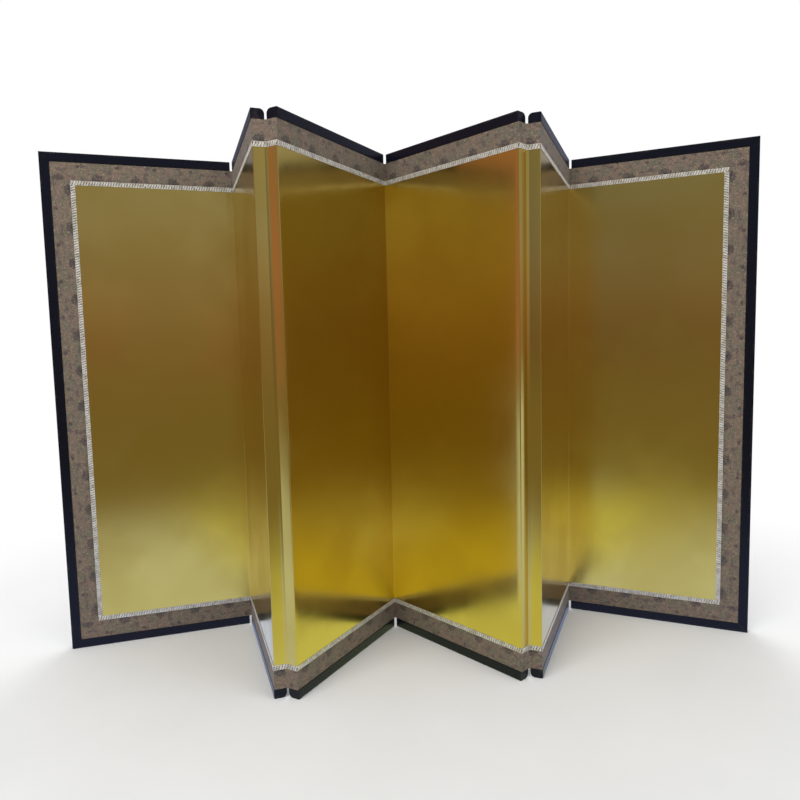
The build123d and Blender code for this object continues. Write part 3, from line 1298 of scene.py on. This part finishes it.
def stood_up(
    leaf: Leaf, size: Extent, width: float, pitch: float, make: Callable[[Plan], bpy.types.Object]
) -> list[bpy.types.Object]:
    """Makes the upright runs beside a panel's end stiles, each made lying down and then stood up.

    Args:
        leaf: the panel.
        size: limits of the whole border that the run belongs to.
        width: of the border's level runs, between which the upright one stands.
        pitch: the longest run between two points of the path.
        make: makes the run along a level path.

    Returns:
        The runs; none for a panel without an end stile.
    """
    made = []
    for side, on_left in leaf.sides():
        if side is not Side.STILE:
            continue
        low, high = size.z0 + width, size.z1 - width
        flat = steps(0.0, high - low, pitch)
        obj = make(np.stack([flat, np.zeros(len(flat))], axis=1))
        obj.data.transform(stand_up(leaf, on_left, size.u0 if on_left else size.u1, size.n0, low))
        if on_left:
            obj.data.flip_normals()
        made.append(obj)
    return made


def join_meshes(target: bpy.types.Object, others: Sequence[bpy.types.Object]) -> None:
    """Adds other objects' meshes to an object's own and removes those objects.

    Args:
        target: the object that takes the meshes.
        others: the objects that give theirs.
    """
    made = bmesh.new()
    made.from_mesh(target.data)
    for other in others:
        made.from_mesh(other.data)
        bpy.data.objects.remove(other)
    made.to_mesh(target.data)
    made.free()
    target.data.update()


# ---------------------------------------------------------------------------------------------
# Braid
# ---------------------------------------------------------------------------------------------


class GrowthSketch(TreeSketch):
    """A Geometry Nodes tree while it is being drawn."""

    def __init__(self, name: str) -> None:
        """Starts a tree with a geometry input and output.

        Args:
            name: the tree's name.
        """
        super().__init__(bpy.data.node_groups.new(name, "GeometryNodeTree"))
        self.tree.interface.new_socket("Path", in_out="INPUT", socket_type="NodeSocketGeometry")
        self.tree.interface.new_socket("Grown", in_out="OUTPUT", socket_type="NodeSocketGeometry")
        self.source = self.tree.nodes.new("NodeGroupInput")
        self.target = self.tree.nodes.new("NodeGroupOutput")

    def size(self, name: str, kind: str, value: object = None) -> Socket:
        """Adds a named input.

        Args:
            name: its name.
            kind: Float, Int or Material.
            value: its default.

        Returns:
            The socket that gives it.
        """
        item = self.tree.interface.new_socket(name, in_out="INPUT", socket_type=f"NodeSocket{kind}")
        if value is not None:
            item.default_value = value
        return self.source.outputs[name]

    def vector(self, x: object = 0.0, y: object = 0.0, z: object = 0.0) -> Socket:
        """A vector of three numbers or sockets."""
        return self.add("ShaderNodeCombineXYZ", {0: x, 1: y, 2: z}).outputs[0]

    def close(self, parts: Sequence[Socket], finish: Socket) -> bpy.types.NodeTree:
        """Joins, realizes and dresses the parts and ends the tree.

        Args:
            parts: geometry sockets.
            finish: the material input.

        Returns:
            The finished tree.
        """
        joined = self.add("GeometryNodeJoinGeometry")
        for part in parts:
            self.join(part, joined.inputs[0])
        real = self.add("GeometryNodeRealizeInstances", {0: joined.outputs[0]})
        dressed = self.add("GeometryNodeSetMaterial", {"Geometry": real.outputs[0], "Material": finish})
        self.join(dressed.outputs[0], self.target.inputs[0])
        return self.tree


def braid_tree() -> bpy.types.NodeTree:
    """The tree that lays slanted thread bundles and two edge cords along a level path.

    Returns:
        A tree with the inputs Width, Pitch, Bundle width, Rise, Slant, Edge cord, Seed and Finish.
    """
    sketch = GrowthSketch("slanted_braid")
    width = sketch.size("Width", "Float", 10.5 * MM)
    pitch = sketch.size("Pitch", "Float", 5.0 * MM)
    bundle = sketch.size("Bundle width", "Float", 4.6 * MM)
    rise = sketch.size("Rise", "Float", 0.7 * MM)
    slant = sketch.size("Slant", "Float", 2.4 * MM)
    cord = sketch.size("Edge cord", "Float", 0.5 * MM)
    seed = sketch.size("Seed", "Int", 3)
    finish = sketch.size("Finish", "Material")

    path = sketch.add("GeometryNodeMeshToCurve", {"Mesh": sketch.source.outputs["Path"]})
    length = sketch.add("GeometryNodeCurveLength", {"Curve": path.outputs[0]}).outputs[0]
    count = sketch.math("MAXIMUM", sketch.math("ROUND", sketch.math("DIVIDE", length, pitch)), 2.0)
    half_step = sketch.math("DIVIDE", sketch.math("MULTIPLY", length, 0.5), count)
    first_length, last_length = 4, 5
    last_step = sketch.math("SUBTRACT", length, half_step)
    inner = sketch.add(
        "GeometryNodeTrimCurve",
        {"Curve": path.outputs[0], first_length: half_step, last_length: last_step},
        mode="LENGTH",
    )
    evenly = {"Curve": inner.outputs[0], "Count": count}
    spaced = sketch.add("GeometryNodeResampleCurve", evenly, mode="COUNT")
    spots = sketch.add("GeometryNodeCurveToPoints", {"Curve": spaced.outputs[0]}, mode="EVALUATED")
    facing = sketch.add(
        "FunctionNodeAlignRotationToVector", {"Vector": spots.outputs["Tangent"]}, axis="X", pivot_axis="Z"
    )

    reach = sketch.math("SUBTRACT", sketch.math("MULTIPLY", width, 0.5), cord)
    lean = sketch.math("MULTIPLY", slant, 0.5)
    low, high = sketch.math("MULTIPLY", reach, -1.0), reach
    swell = sketch.math("MULTIPLY", reach, 0.35)
    thread = sketch.add(
        "GeometryNodeCurvePrimitiveBezierSegment",
        {
            "Resolution": 6,
            "Start": sketch.vector(sketch.math("MULTIPLY", lean, -1.0), 0.0, low),
            "Start Handle": sketch.vector(
                sketch.math("MULTIPLY", lean, -1.0), 0.0, sketch.math("MULTIPLY", swell, -1.0)
            ),
            "End Handle": sketch.vector(lean, 0.0, swell),
            "End": sketch.vector(lean, 0.0, high),
        },
        mode="POSITION",
    )
    share = sketch.add("GeometryNodeSplineParameter").outputs["Factor"]
    crown = sketch.math("POWER", sketch.math("SINE", sketch.math("MULTIPLY", share, math.pi)), 0.5)
    fullness = sketch.math("ADD", sketch.math("MULTIPLY", crown, 0.42), 0.58)
    rounded = sketch.add("GeometryNodeSetCurveRadius", {"Curve": thread.outputs[0], "Radius": fullness})
    half_bundle = sketch.math("MULTIPLY", bundle, 0.5)
    ring = sketch.add("GeometryNodeCurvePrimitiveCircle", {"Resolution": 8, "Radius": half_bundle})
    tube = sketch.add(
        "GeometryNodeCurveToMesh",
        {"Curve": rounded.outputs[0], "Profile Curve": ring.outputs[0], "Fill Caps": True},
    )
    flatness = sketch.math("DIVIDE", rise, half_bundle)
    rib = sketch.add(
        "GeometryNodeTransform", {"Geometry": tube.outputs[0], "Scale": sketch.vector(1.0, flatness, 1.0)}
    )
    laid = sketch.add(
        "GeometryNodeInstanceOnPoints",
        {"Points": spots.outputs["Points"], "Instance": rib.outputs[0], "Rotation": facing.outputs[0]},
    )
    jitter = sketch.add(
        "FunctionNodeRandomValue",
        {0: (-0.03, -0.07, -0.02), 1: (0.03, 0.07, 0.02), "Seed": seed},
        data_type="FLOAT_VECTOR",
    )
    uneven = sketch.add(
        "GeometryNodeRotateInstances", {"Instances": laid.outputs[0], "Rotation": jitter.outputs[0]}
    )

    edges = []
    for direction in (-1.0, 1.0):
        shift = sketch.vector(0.0, 0.0, sketch.math("MULTIPLY", reach, direction))
        moved = sketch.add("GeometryNodeSetPosition", {"Geometry": path.outputs[0], "Offset": shift})
        round_cord = sketch.add("GeometryNodeCurvePrimitiveCircle", {"Resolution": 6, "Radius": cord})
        made = sketch.add(
            "GeometryNodeCurveToMesh",
            {"Curve": moved.outputs[0], "Profile Curve": round_cord.outputs[0], "Fill Caps": True},
        )
        edges.append(made.outputs[0])
    return sketch.close([uneven.outputs[0], *edges], finish)


def grown(path: np.ndarray, tree: bpy.types.NodeTree, sizes: dict[str, object]) -> bpy.types.Mesh:
    """Grows a tree's geometry along a path and returns it as a plain mesh.

    Args:
        path: rows of x, y, z.
        tree: the Geometry Nodes tree.
        sizes: a value for each of its named inputs.

    Returns:
        The plain mesh.
    """
    line = bpy.data.meshes.new("growth_path")
    line.from_pydata([tuple(point) for point in path], [(i, i + 1) for i in range(len(path) - 1)], [])
    carrier = bpy.data.objects.new("growth_path", line)
    bpy.context.scene.collection.objects.link(carrier)
    modifier = carrier.modifiers.new("grow", "NODES")
    modifier.node_group = tree
    for item in tree.interface.items_tree:
        if item.item_type == "SOCKET" and item.in_out == "INPUT" and item.name in sizes:
            modifier[item.identifier] = sizes[item.name]
    mesh = bpy.data.meshes.new_from_object(carrier.evaluated_get(bpy.context.evaluated_depsgraph_get()))
    bpy.data.objects.remove(carrier)
    return mesh


@dataclass(frozen=True)
class SilverBraid:
    """The narrow braid along the brocade: a ribbon, thread bundles laid slantwise on it, and edge cords. The
    ribbon is dark as painted shade for the grooves between the bundles.
    """

    finish: bpy.types.Material
    # painted shade: the ribbon's dark finish stands for the shade in the grooves between the bundles
    ground: bpy.types.Material
    tree: bpy.types.NodeTree
    width: float = 10.5 * MM
    rise: float = 1.1 * MM
    ribbon: float = 0.35 * MM
    bundle_pitch: float = 6.0 * MM
    bundle_share: float = 0.70
    slant: float = 3.2 * MM
    cord: float = 0.55 * MM
    corner: float = 2.7 * MM
    pitch: float = 9 * MM
    ridge_depth: float = -1.1 * MM

    def _lay(self, outside: Plan, low: float, seed: int, bundle_pitch: float) -> bpy.types.Object:
        """One braid along a plan path, from its lower edge up.

        Args:
            outside: the plan path of its outermost surface.
            low: its lower edge.
            seed: of the unevenness of its bundles.
            bundle_pitch: from one bundle to the next.

        Returns:
            The braid as one object, with its ribbon in the first finish, which is dark as painted shade for
            the grooves, and its thread in the second.
        """
        ribbon_path = offset_path(outside, self.rise - self.ribbon)
        ribbon = Sheet(ribbon_path, self.ribbon, low, low + self.width, self.width)
        # painted shade: the ribbon gets the dark finish that stands for the shade between the bundles
        obj = sheets_object("braid_run", [ribbon], self.ground)
        obj.data.materials.append(self.finish)
        middle = np.full(len(ribbon_path), low + self.width / 2)
        thickness = self.rise - self.ribbon
        mesh = grown(
            np.column_stack([ribbon_path, middle]),
            self.tree,
            {
                "Width": self.width,
                "Pitch": bundle_pitch,
                "Bundle width": self.bundle_share * bundle_pitch,
                "Rise": thickness,
                "Slant": self.slant,
                "Edge cord": self.cord,
                "Seed": seed,
                "Finish": self.finish,
            },
        )
        bundles = new_object("braid_bundles", mesh, self.finish)
        bundles.data.polygons.foreach_set("material_index", [1] * len(bundles.data.polygons))
        join_meshes(obj, [bundles])
        return obj

    def build(self, leaf: Leaf) -> bpy.types.Object:
        """Makes the braid of one panel.

        Args:
            leaf: the panel.

        Returns:
            One object of its runs.
        """
        size = leaf.extent("braid")
        path = wrapped_path(leaf, Face.FRONT, size, self.corner, self.pitch)
        levels = (size.z0, size.z1 - self.width)
        step = self.bundle_pitch
        runs = [self._lay(path, low, 10 * leaf.number + i, step) for i, low in enumerate(levels)]

        def lying(level: Plan) -> bpy.types.Object:
            """The upright braid while it still lies down."""
            return self._lay(level, 0.0, 10 * leaf.number + 5, step)

        runs += stood_up(leaf, size, self.width, self.pitch, lying)
        obj = runs[0]
        join_meshes(obj, runs[1:])
        obj.name = leaf.node("silver_braid")
        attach(obj, leaf.body)
        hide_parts(leaf.node("braid"))
        return obj

    def bridge(self, fold: Fold) -> bpy.types.Object:
        """The braid that runs on across a fold.

        Args:
            fold: the fold.

        Returns:
            One object of its lower and its upper run.
        """
        crease = valley_crease(fold, "braid", 0.0)
        if fold.kind is Side.RIDGE:
            crease = ridge_crease(fold, "braid", Face.FRONT, self.ridge_depth)
        size = fold.left.extent("braid")
        path = crease.path()
        step = arc_lengths(path)[-1] / 2
        levels = (size.z0, size.z1 - self.width)
        obj, upper = [self._lay(path, low, 70 + fold.left.number, step) for low in levels]
        join_meshes(obj, [upper])
        obj.name = f"{fold.label}_braid_crease"
        crease.bend(obj)
        return obj


# ---------------------------------------------------------------------------------------------
# Lacquered edge frame
# ---------------------------------------------------------------------------------------------


class End(Enum):
    """How a bar of the edge frame ends."""

    SQUARE = "square"
    MITRE = "mitre"


@dataclass(frozen=True)
class LacquerFrame:
    """The rails and end stiles: bars with a round outer back edge, crisp arrises and mitred corners."""

    finish: bpy.types.Material
    front_round: float = 2.0 * MM
    back_round: float = 10.0 * MM
    arris: float = 0.5 * MM
    bevel: float = 0.4 * MM
    worn_reach: float = 5.0 * MM
    pitch: float = 90 * MM

    def _section(self, depth: float, height: float, inset: float) -> tuple[np.ndarray, np.ndarray]:
        """The bar's section, drawn with its outer face at zero height.

        Args:
            depth: front to back.
            height: outer face to inner face.
            inset: how far the whole outline is drawn in.

        Returns:
            Rows of depth and height, and how worn each point is.
        """
        corners = (  # depth, height, radius, first angle, parts of the arc, wear
            (0.0, 0.0, self.front_round, math.pi, 6, 0.9),
            (depth, 0.0, self.back_round, 1.5 * math.pi, 10, 0.25),
            (depth, height, self.arris, 0.0, 3, 0.6),
            (0.0, height, self.arris, 0.5 * math.pi, 3, 0.6),
        )
        rows, wear = [], []
        for x, z, radius, start, parts, worn in corners:
            inner_x = x + radius if x == 0.0 else x - radius
            inner_z = z + radius if z == 0.0 else z - radius
            reach = max(radius - inset, 0.05 * MM)
            for angle in np.linspace(start, start + math.pi / 2, parts + 1):
                rows.append((inner_x + reach * math.cos(angle), inner_z + reach * math.sin(angle)))
                wear.append(worn)
        points, worn_points = [], []
        for i, (row, worn) in enumerate(zip(rows, wear)):
            points.append(row)
            worn_points.append(worn)
            after = rows[(i + 1) % len(rows)]
            run = math.dist(row, after)
            if run > 4 * self.front_round:
                for share in (0.18, 0.82):
                    points.append(tuple(np.array(row) * (1 - share) + np.array(after) * share))
                    worn_points.append(0.0)
        return np.array(points), np.array(worn_points)

    def _bar(
        self,
        name: str,
        size: tuple[float, float],
        run: tuple[float, float],
        ends: tuple[End, End],
        place: Callable[[np.ndarray, np.ndarray, np.ndarray], np.ndarray],
    ) -> bpy.types.Object:
        """Makes one bar.

        Args:
            name: the piece's name.
            size: its depth and height.
            run: where it starts and ends, at its outer face.
            ends: how it ends.
            place: turns length, depth and height into x, y, z.

        Returns:
            The bar.
        """
        middle = steps(run[0] + self.worn_reach, run[1] - self.worn_reach, self.pitch)
        stations = [(run[0], self.bevel, 1.0), (run[0] + self.bevel, 0.0, 1.0)]
        stations += [(at, 0.0, 0.0) for at in middle]
        stations += [(run[1] - self.bevel, 0.0, 1.0), (run[1], self.bevel, 1.0)]
        half = (run[0] + run[1]) / 2
        made = bmesh.new()
        worn_layer = made.verts.layers.float.new("wear")
        loops = []
        for at, inset, worn_end in stations:
            section, worn = self._section(*size, inset)
            depth, height = section[:, 0], section[:, 1]
            first = at < half
            slope = (1.0 if first else -1.0) if ends[0 if first else 1] is End.MITRE else 0.0
            length = at + slope * height
            loop = []
            for point, value in zip(place(length, depth, height), worn):
                vertex = made.verts.new(point)
                vertex[worn_layer] = max(value, worn_end)
                loop.append(vertex)
            loops.append(loop)
        for one, two in zip(loops, loops[1:]):
            for i, vertex in enumerate(one):
                j = (i + 1) % len(one)
                made.faces.new((vertex, one[j], two[j], two[i]))
        made.faces.new(loops[0][::-1])
        made.faces.new(loops[-1])
        bmesh.ops.recalc_face_normals(made, faces=made.faces)
        mesh = bpy.data.meshes.new(name)
        made.to_mesh(mesh)
        made.free()
        return new_object(name, mesh, self.finish)

    def _dress(self, obj: bpy.types.Object, leaf: Leaf, piece: str) -> bpy.types.Object:
        """Puts a bar in the place of its node.

        Args:
            obj: the bar.
            leaf: the panel.
            piece: the node's name without the panel.

        Returns:
            The bar.
        """
        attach(obj, leaf.body)
        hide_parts(leaf.node(piece))
        return obj

    def build(self, leaf: Leaf) -> list[bpy.types.Object]:
        """Makes the rails of one panel, and its end stile if it has one.

        Args:
            leaf: the panel.

        Returns:
            The bars.
        """
        ends = tuple(End.MITRE if side is Side.STILE else End.SQUARE for side, _ in leaf.sides())
        made = []
        for piece, upward in (("bottom_rail", True), ("top_rail", False)):
            size = leaf.extent(piece)

            def place(
                length: np.ndarray,
                depth: np.ndarray,
                height: np.ndarray,
                size: Extent = size,
                upward: bool = upward,
            ) -> np.ndarray:
                """Places the rail's points, its outer face down or up.

                Args:
                    length: metres along the panel.
                    depth: metres from its front.
                    height: metres from the outer face.
                    size: the rail's limits.
                    upward: whether the outer face is the lower one.

                Returns:
                    Rows of x, y, z.
                """
                plan = leaf.plan(length + 0.0 * depth, size.n0 + depth)
                level = size.z0 + height if upward else size.z1 - height
                return np.column_stack([plan, level])

            section = (size.n1 - size.n0, size.z1 - size.z0)
            bar = self._bar(leaf.node(f"{piece}_bar"), section, (size.u0, size.u1), ends, place)
            made.append(self._dress(bar, leaf, piece))
        for side, on_left in leaf.sides():
            if side is Side.STILE:
                made.append(self._end_stile(leaf, on_left))
        return made

    def _end_stile(self, leaf: Leaf, on_left: bool) -> bpy.types.Object:
        """Makes the upright that closes an outer side.

        Args:
            leaf: the panel.
            on_left: whether that side is its left one.

        Returns:
            The bar.
        """
        size = leaf.extent("end_stile")

        def place(length: np.ndarray, depth: np.ndarray, height: np.ndarray) -> np.ndarray:
            """Places the stile's points, its outer face outwards."""
            u = size.u0 + height if on_left else size.u1 - height
            return np.column_stack([leaf.plan(u, size.n0 + depth), length])

        bar = self._bar(
            leaf.node("end_stile_bar"),
            (size.n1 - size.n0, size.u1 - size.u0),
            (size.z0, size.z1),
            (End.MITRE, End.MITRE),
            place,
        )
        return self._dress(bar, leaf, "end_stile")


# ---------------------------------------------------------------------------------------------
# Studio
# ---------------------------------------------------------------------------------------------


@dataclass(frozen=True)
class Studio:
    """A pale floor, soft light and the camera.

    The gold is a mirror, so what stands round the studio is given as soft bands of tone: pale floor near
    the screen, brown dusk at eye level and grey-beige above.
    """

    eye: tuple[float, float, float] = (-0.08334, -1.54666, 0.75068)
    yaw: float = math.radians(2.473)
    pitch: float = math.radians(-5.150)
    roll: float = math.radians(-1.286)
    lens_mm: float = 29.503
    floor_drop: float = 0.4 * MM
    floor_half: float = 12.0
    sheet_end: tuple[float, float] = (-1.75, -0.35)
    cool_from: tuple[float, float] = (0.15, 0.42)
    fade: tuple[float, float] = (0.7, 1.9)
    sensor_mm: float = 36.0
    near_tone: Colour = (0.62, 0.69, 0.39, 1.0)
    cool_tone: Colour = (0.56, 0.66, 1.02, 1.0)
    far_tone: Colour = (0.188, 0.155, 0.088, 1.0)
    white: Colour = (1.0, 1.0, 1.0, 1.0)
    even_tone: Colour = (0.97, 0.98, 1.0, 1.0)
    even_strength: float = 0.65
    lamp_tone: Colour = (0.446, 0.230, 0.215, 1.0)
    lamp_reach: tuple[float, float] = (-0.80, -0.92)
    brighter_right: tuple[float, ...] = (-0.6, 0.5, 0.80, 1.35)
    bands: tuple[tuple[float, Colour], ...] = (
        (0.0, (0.178, 0.113, 0.085, 1.0)),
        (0.50, (0.178, 0.113, 0.085, 1.0)),
        (0.53, (0.239, 0.181, 0.181, 1.0)),
        (0.5635, (0.244, 0.224, 0.280, 1.0)),
        (0.595, (0.239, 0.246, 0.330, 1.0)),
        (1.0, (0.530, 0.530, 0.480, 1.0)),
    )

    def camera(self) -> None:
        """Puts up the camera."""
        ahead0 = Vector((math.sin(self.yaw), math.cos(self.yaw), 0.0))
        right0 = Vector((math.cos(self.yaw), -math.sin(self.yaw), 0.0))
        up0 = Vector((0.0, 0.0, 1.0))
        ahead = ahead0 * math.cos(self.pitch) + up0 * math.sin(self.pitch)
        up1 = up0 * math.cos(self.pitch) - ahead0 * math.sin(self.pitch)
        right = right0 * math.cos(self.roll) + up1 * math.sin(self.roll)
        up = up1 * math.cos(self.roll) - right0 * math.sin(self.roll)
        data = bpy.data.cameras.new("camera")
        data.sensor_width = self.sensor_mm
        data.lens = self.lens_mm
        obj = bpy.data.objects.new("camera", data)
        turn = Matrix((right, up, -ahead)).transposed().to_4x4()
        obj.matrix_world = Matrix.Translation(self.eye) @ turn
        bpy.context.scene.collection.objects.link(obj)
        bpy.context.scene.camera = obj

    def floor(self) -> bpy.types.Object:
        """Lays the floor.

        Returns:
            The floor.
        """
        h, z = self.floor_half, -self.floor_drop
        mesh = bpy.data.meshes.new("studio_floor")
        mesh.from_pydata([(-h, -h, z), (h, -h, z), (h, h, z), (-h, h, z)], [], [(0, 1, 2, 3)])
        obj = bpy.data.objects.new("studio_floor", mesh)
        bpy.context.scene.collection.objects.link(obj)
        mesh.materials.append(self._floor_finish())
        return obj

    def _floor_finish(self) -> bpy.types.Material:
        """Matt pale floor, which a mirror sees as a pale sheet that ends a little way out.

        Returns:
            The material.
        """
        sketch = NodeSketch("studio_floor")
        place = sketch.place()
        mottle = sketch.band(sketch.noise(place, 3.0, 3.0), 0.3, 0.7, 0.0, 1.0)
        pale = sketch.mix(mottle, (0.84, 0.84, 0.83, 1.0), (0.87, 0.87, 0.86, 1.0))
        sketch.set(Base_Color=pale, Roughness=0.9)
        parts = sketch.add("ShaderNodeSeparateXYZ", {0: place})
        near = sketch.band(parts.outputs[1], *self.sheet_end)
        outwards = sketch.band(sketch.math("ABSOLUTE", parts.outputs[0]), *self.cool_from)
        sheet = sketch.mix(outwards, self.near_tone, self.cool_tone)
        tone = sketch.mix(near, self.far_tone, sheet)
        glow = sketch.add("ShaderNodeEmission", {"Color": tone, "Strength": 1.0})
        white = sketch.add("ShaderNodeEmission", {"Color": self.white, "Strength": 1.0})
        out = sketch.add("ShaderNodeVectorMath", {0: place}, operation="LENGTH").outputs["Value"]
        path = sketch.add("ShaderNodeLightPath")
        fade = sketch.math("MULTIPLY", sketch.band(out, *self.fade), path.outputs["Is Camera Ray"])
        seamless = sketch.choose(fade, sketch.shader, white)
        both = sketch.choose(path.outputs["Is Glossy Ray"], seamless, glow)
        sketch.join(both.outputs[0], sketch.output.inputs["Surface"])
        return sketch.material

    def surroundings(self) -> None:
        """Gives the world white for the eye, even light for cloth and soft bands of tone for mirrors."""
        world = bpy.data.worlds.new("studio")
        bpy.context.scene.world = world
        world.use_nodes = True
        world.node_tree.nodes.clear()
        sketch = TreeSketch(world.node_tree)
        where = sketch.add("ShaderNodeTexCoord").outputs["Generated"]
        parts = sketch.add("ShaderNodeSeparateXYZ", {0: where})
        sideways, upwards = parts.outputs[0], parts.outputs[2]
        ramp = sketch.add("ShaderNodeValToRGB", {0: sketch.band(upwards, -1.0, 1.0, eased=False)})
        stops = ramp.color_ramp
        stops.interpolation = "EASE"
        while len(stops.elements) < len(self.bands):
            stops.elements.new(0.5)
        for element, (at, tone) in zip(stops.elements, self.bands):
            element.position = at
            element.color = tone
        warmed = sketch.mix(sketch.band(sideways, *self.lamp_reach), ramp.outputs[0], self.lamp_tone)
        strength = sketch.band(sideways, *self.brighter_right, eased=False)
        mirrored = sketch.add("ShaderNodeBackground", {"Color": warmed, "Strength": strength})
        even = sketch.add("ShaderNodeBackground", {"Color": self.even_tone, "Strength": self.even_strength})
        white = sketch.add("ShaderNodeBackground", {"Color": self.white})
        path = sketch.add("ShaderNodeLightPath")
        unseen = sketch.choose(path.outputs["Is Glossy Ray"], even, mirrored)
        both = sketch.choose(path.outputs["Is Camera Ray"], unseen, white)
        sketch.add("ShaderNodeOutputWorld", {"Surface": both.outputs[0]})

    def lights(self) -> None:
        """Hangs the soft lights round the screen."""
        for name, place, power, size in (
            ("key_light", (-1.8, -2.4, 2.8), 70.0, 2.2),
            ("fill_light", (2.4, -2.0, 2.2), 30.0, 2.2),
            ("back_light", (0.3, 2.8, 2.6), 45.0, 2.4),
        ):
            data = bpy.data.lights.new(name, "AREA")
            data.energy = power
            data.size = size
            obj = bpy.data.objects.new(name, data)
            obj.location = place
            aim = Vector((0.0, 0.0, 0.6)) - Vector(place)
            obj.rotation_euler = aim.to_track_quat("-Z", "Y").to_euler()
            obj.visible_glossy = False
            bpy.context.scene.collection.objects.link(obj)

    def build(self) -> None:
        """Sets up everything round the screen."""
        bpy.context.scene.view_settings.view_transform = "Standard"
        self.camera()
        self.floor()
        self.surroundings()
        self.lights()


# ---------------------------------------------------------------------------------------------
# The screen
# ---------------------------------------------------------------------------------------------


@dataclass(frozen=True)
class Screen:
    """The whole folding screen, built panel by panel and fold by fold."""

    leaves: list[Leaf]
    folds: list[Fold]

    def build(self) -> None:
        """Makes and dresses every piece."""
        skins = PaperSkins(GoldPaper().material(), BackingPaper().material())
        hinges = HingePaper(FibrePaper().material())
        brocade = BrocadeBorder(BrocadeCloth().material())
        # painted shade: a dark silver for the braid's ribbon, standing for the shade in the grooves between
        # the bundles
        ground = SilverThread("braid_groove_shade", (0.14, 0.12, 0.095, 1.0), (0.065, 0.056, 0.046, 1.0))
        braid = SilverBraid(SilverThread().material(), ground.material(), braid_tree())
        edging = LacquerFrame(BlackLacquer().material())
        carried = {"core": PlanedCedar().material(), "rail_nails": NailIron().material()}
        for leaf in self.leaves:
            pieces = [*skins.build(leaf), hinges.wings(leaf), brocade.build(leaf), braid.build(leaf)]
            report(leaf.body, [*pieces, *edging.build(leaf)])
            for node, finish in carried.items():
                dress_node(leaf.node(node), finish)
        for fold in self.folds:
            strips = [*skins.bridge(fold), hinges.flex(fold), brocade.bridge(fold), braid.bridge(fold)]
            report(fold.label, strips)


def report(group: str, pieces: Sequence[bpy.types.Object]) -> None:
    """Logs each piece of a group with its number of faces."""
    for piece in pieces:
        LOG.info("%s: %s, %d faces", group, piece.name, len(piece.data.polygons))


def dress_node(name: str, finish: bpy.types.Material) -> None:
    """Gives a carried-over node its finish.

    Args:
        name: the node's name.
        finish: its material.
    """
    materials = bpy.data.objects[name].data.materials
    if not materials:
        materials.append(finish)
    for i in range(len(materials)):
        materials[i] = finish


def main() -> None:
    """Builds the studio and the screen."""
    logging.basicConfig(level=logging.INFO, format="%(message)s")
    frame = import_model()
    studio = Studio()
    studio.build()
    screen = Screen(*read_leaves(len(frame["bodies"]), frame["joints"]))
    screen.build()


if __name__ == "__main__":
    main()
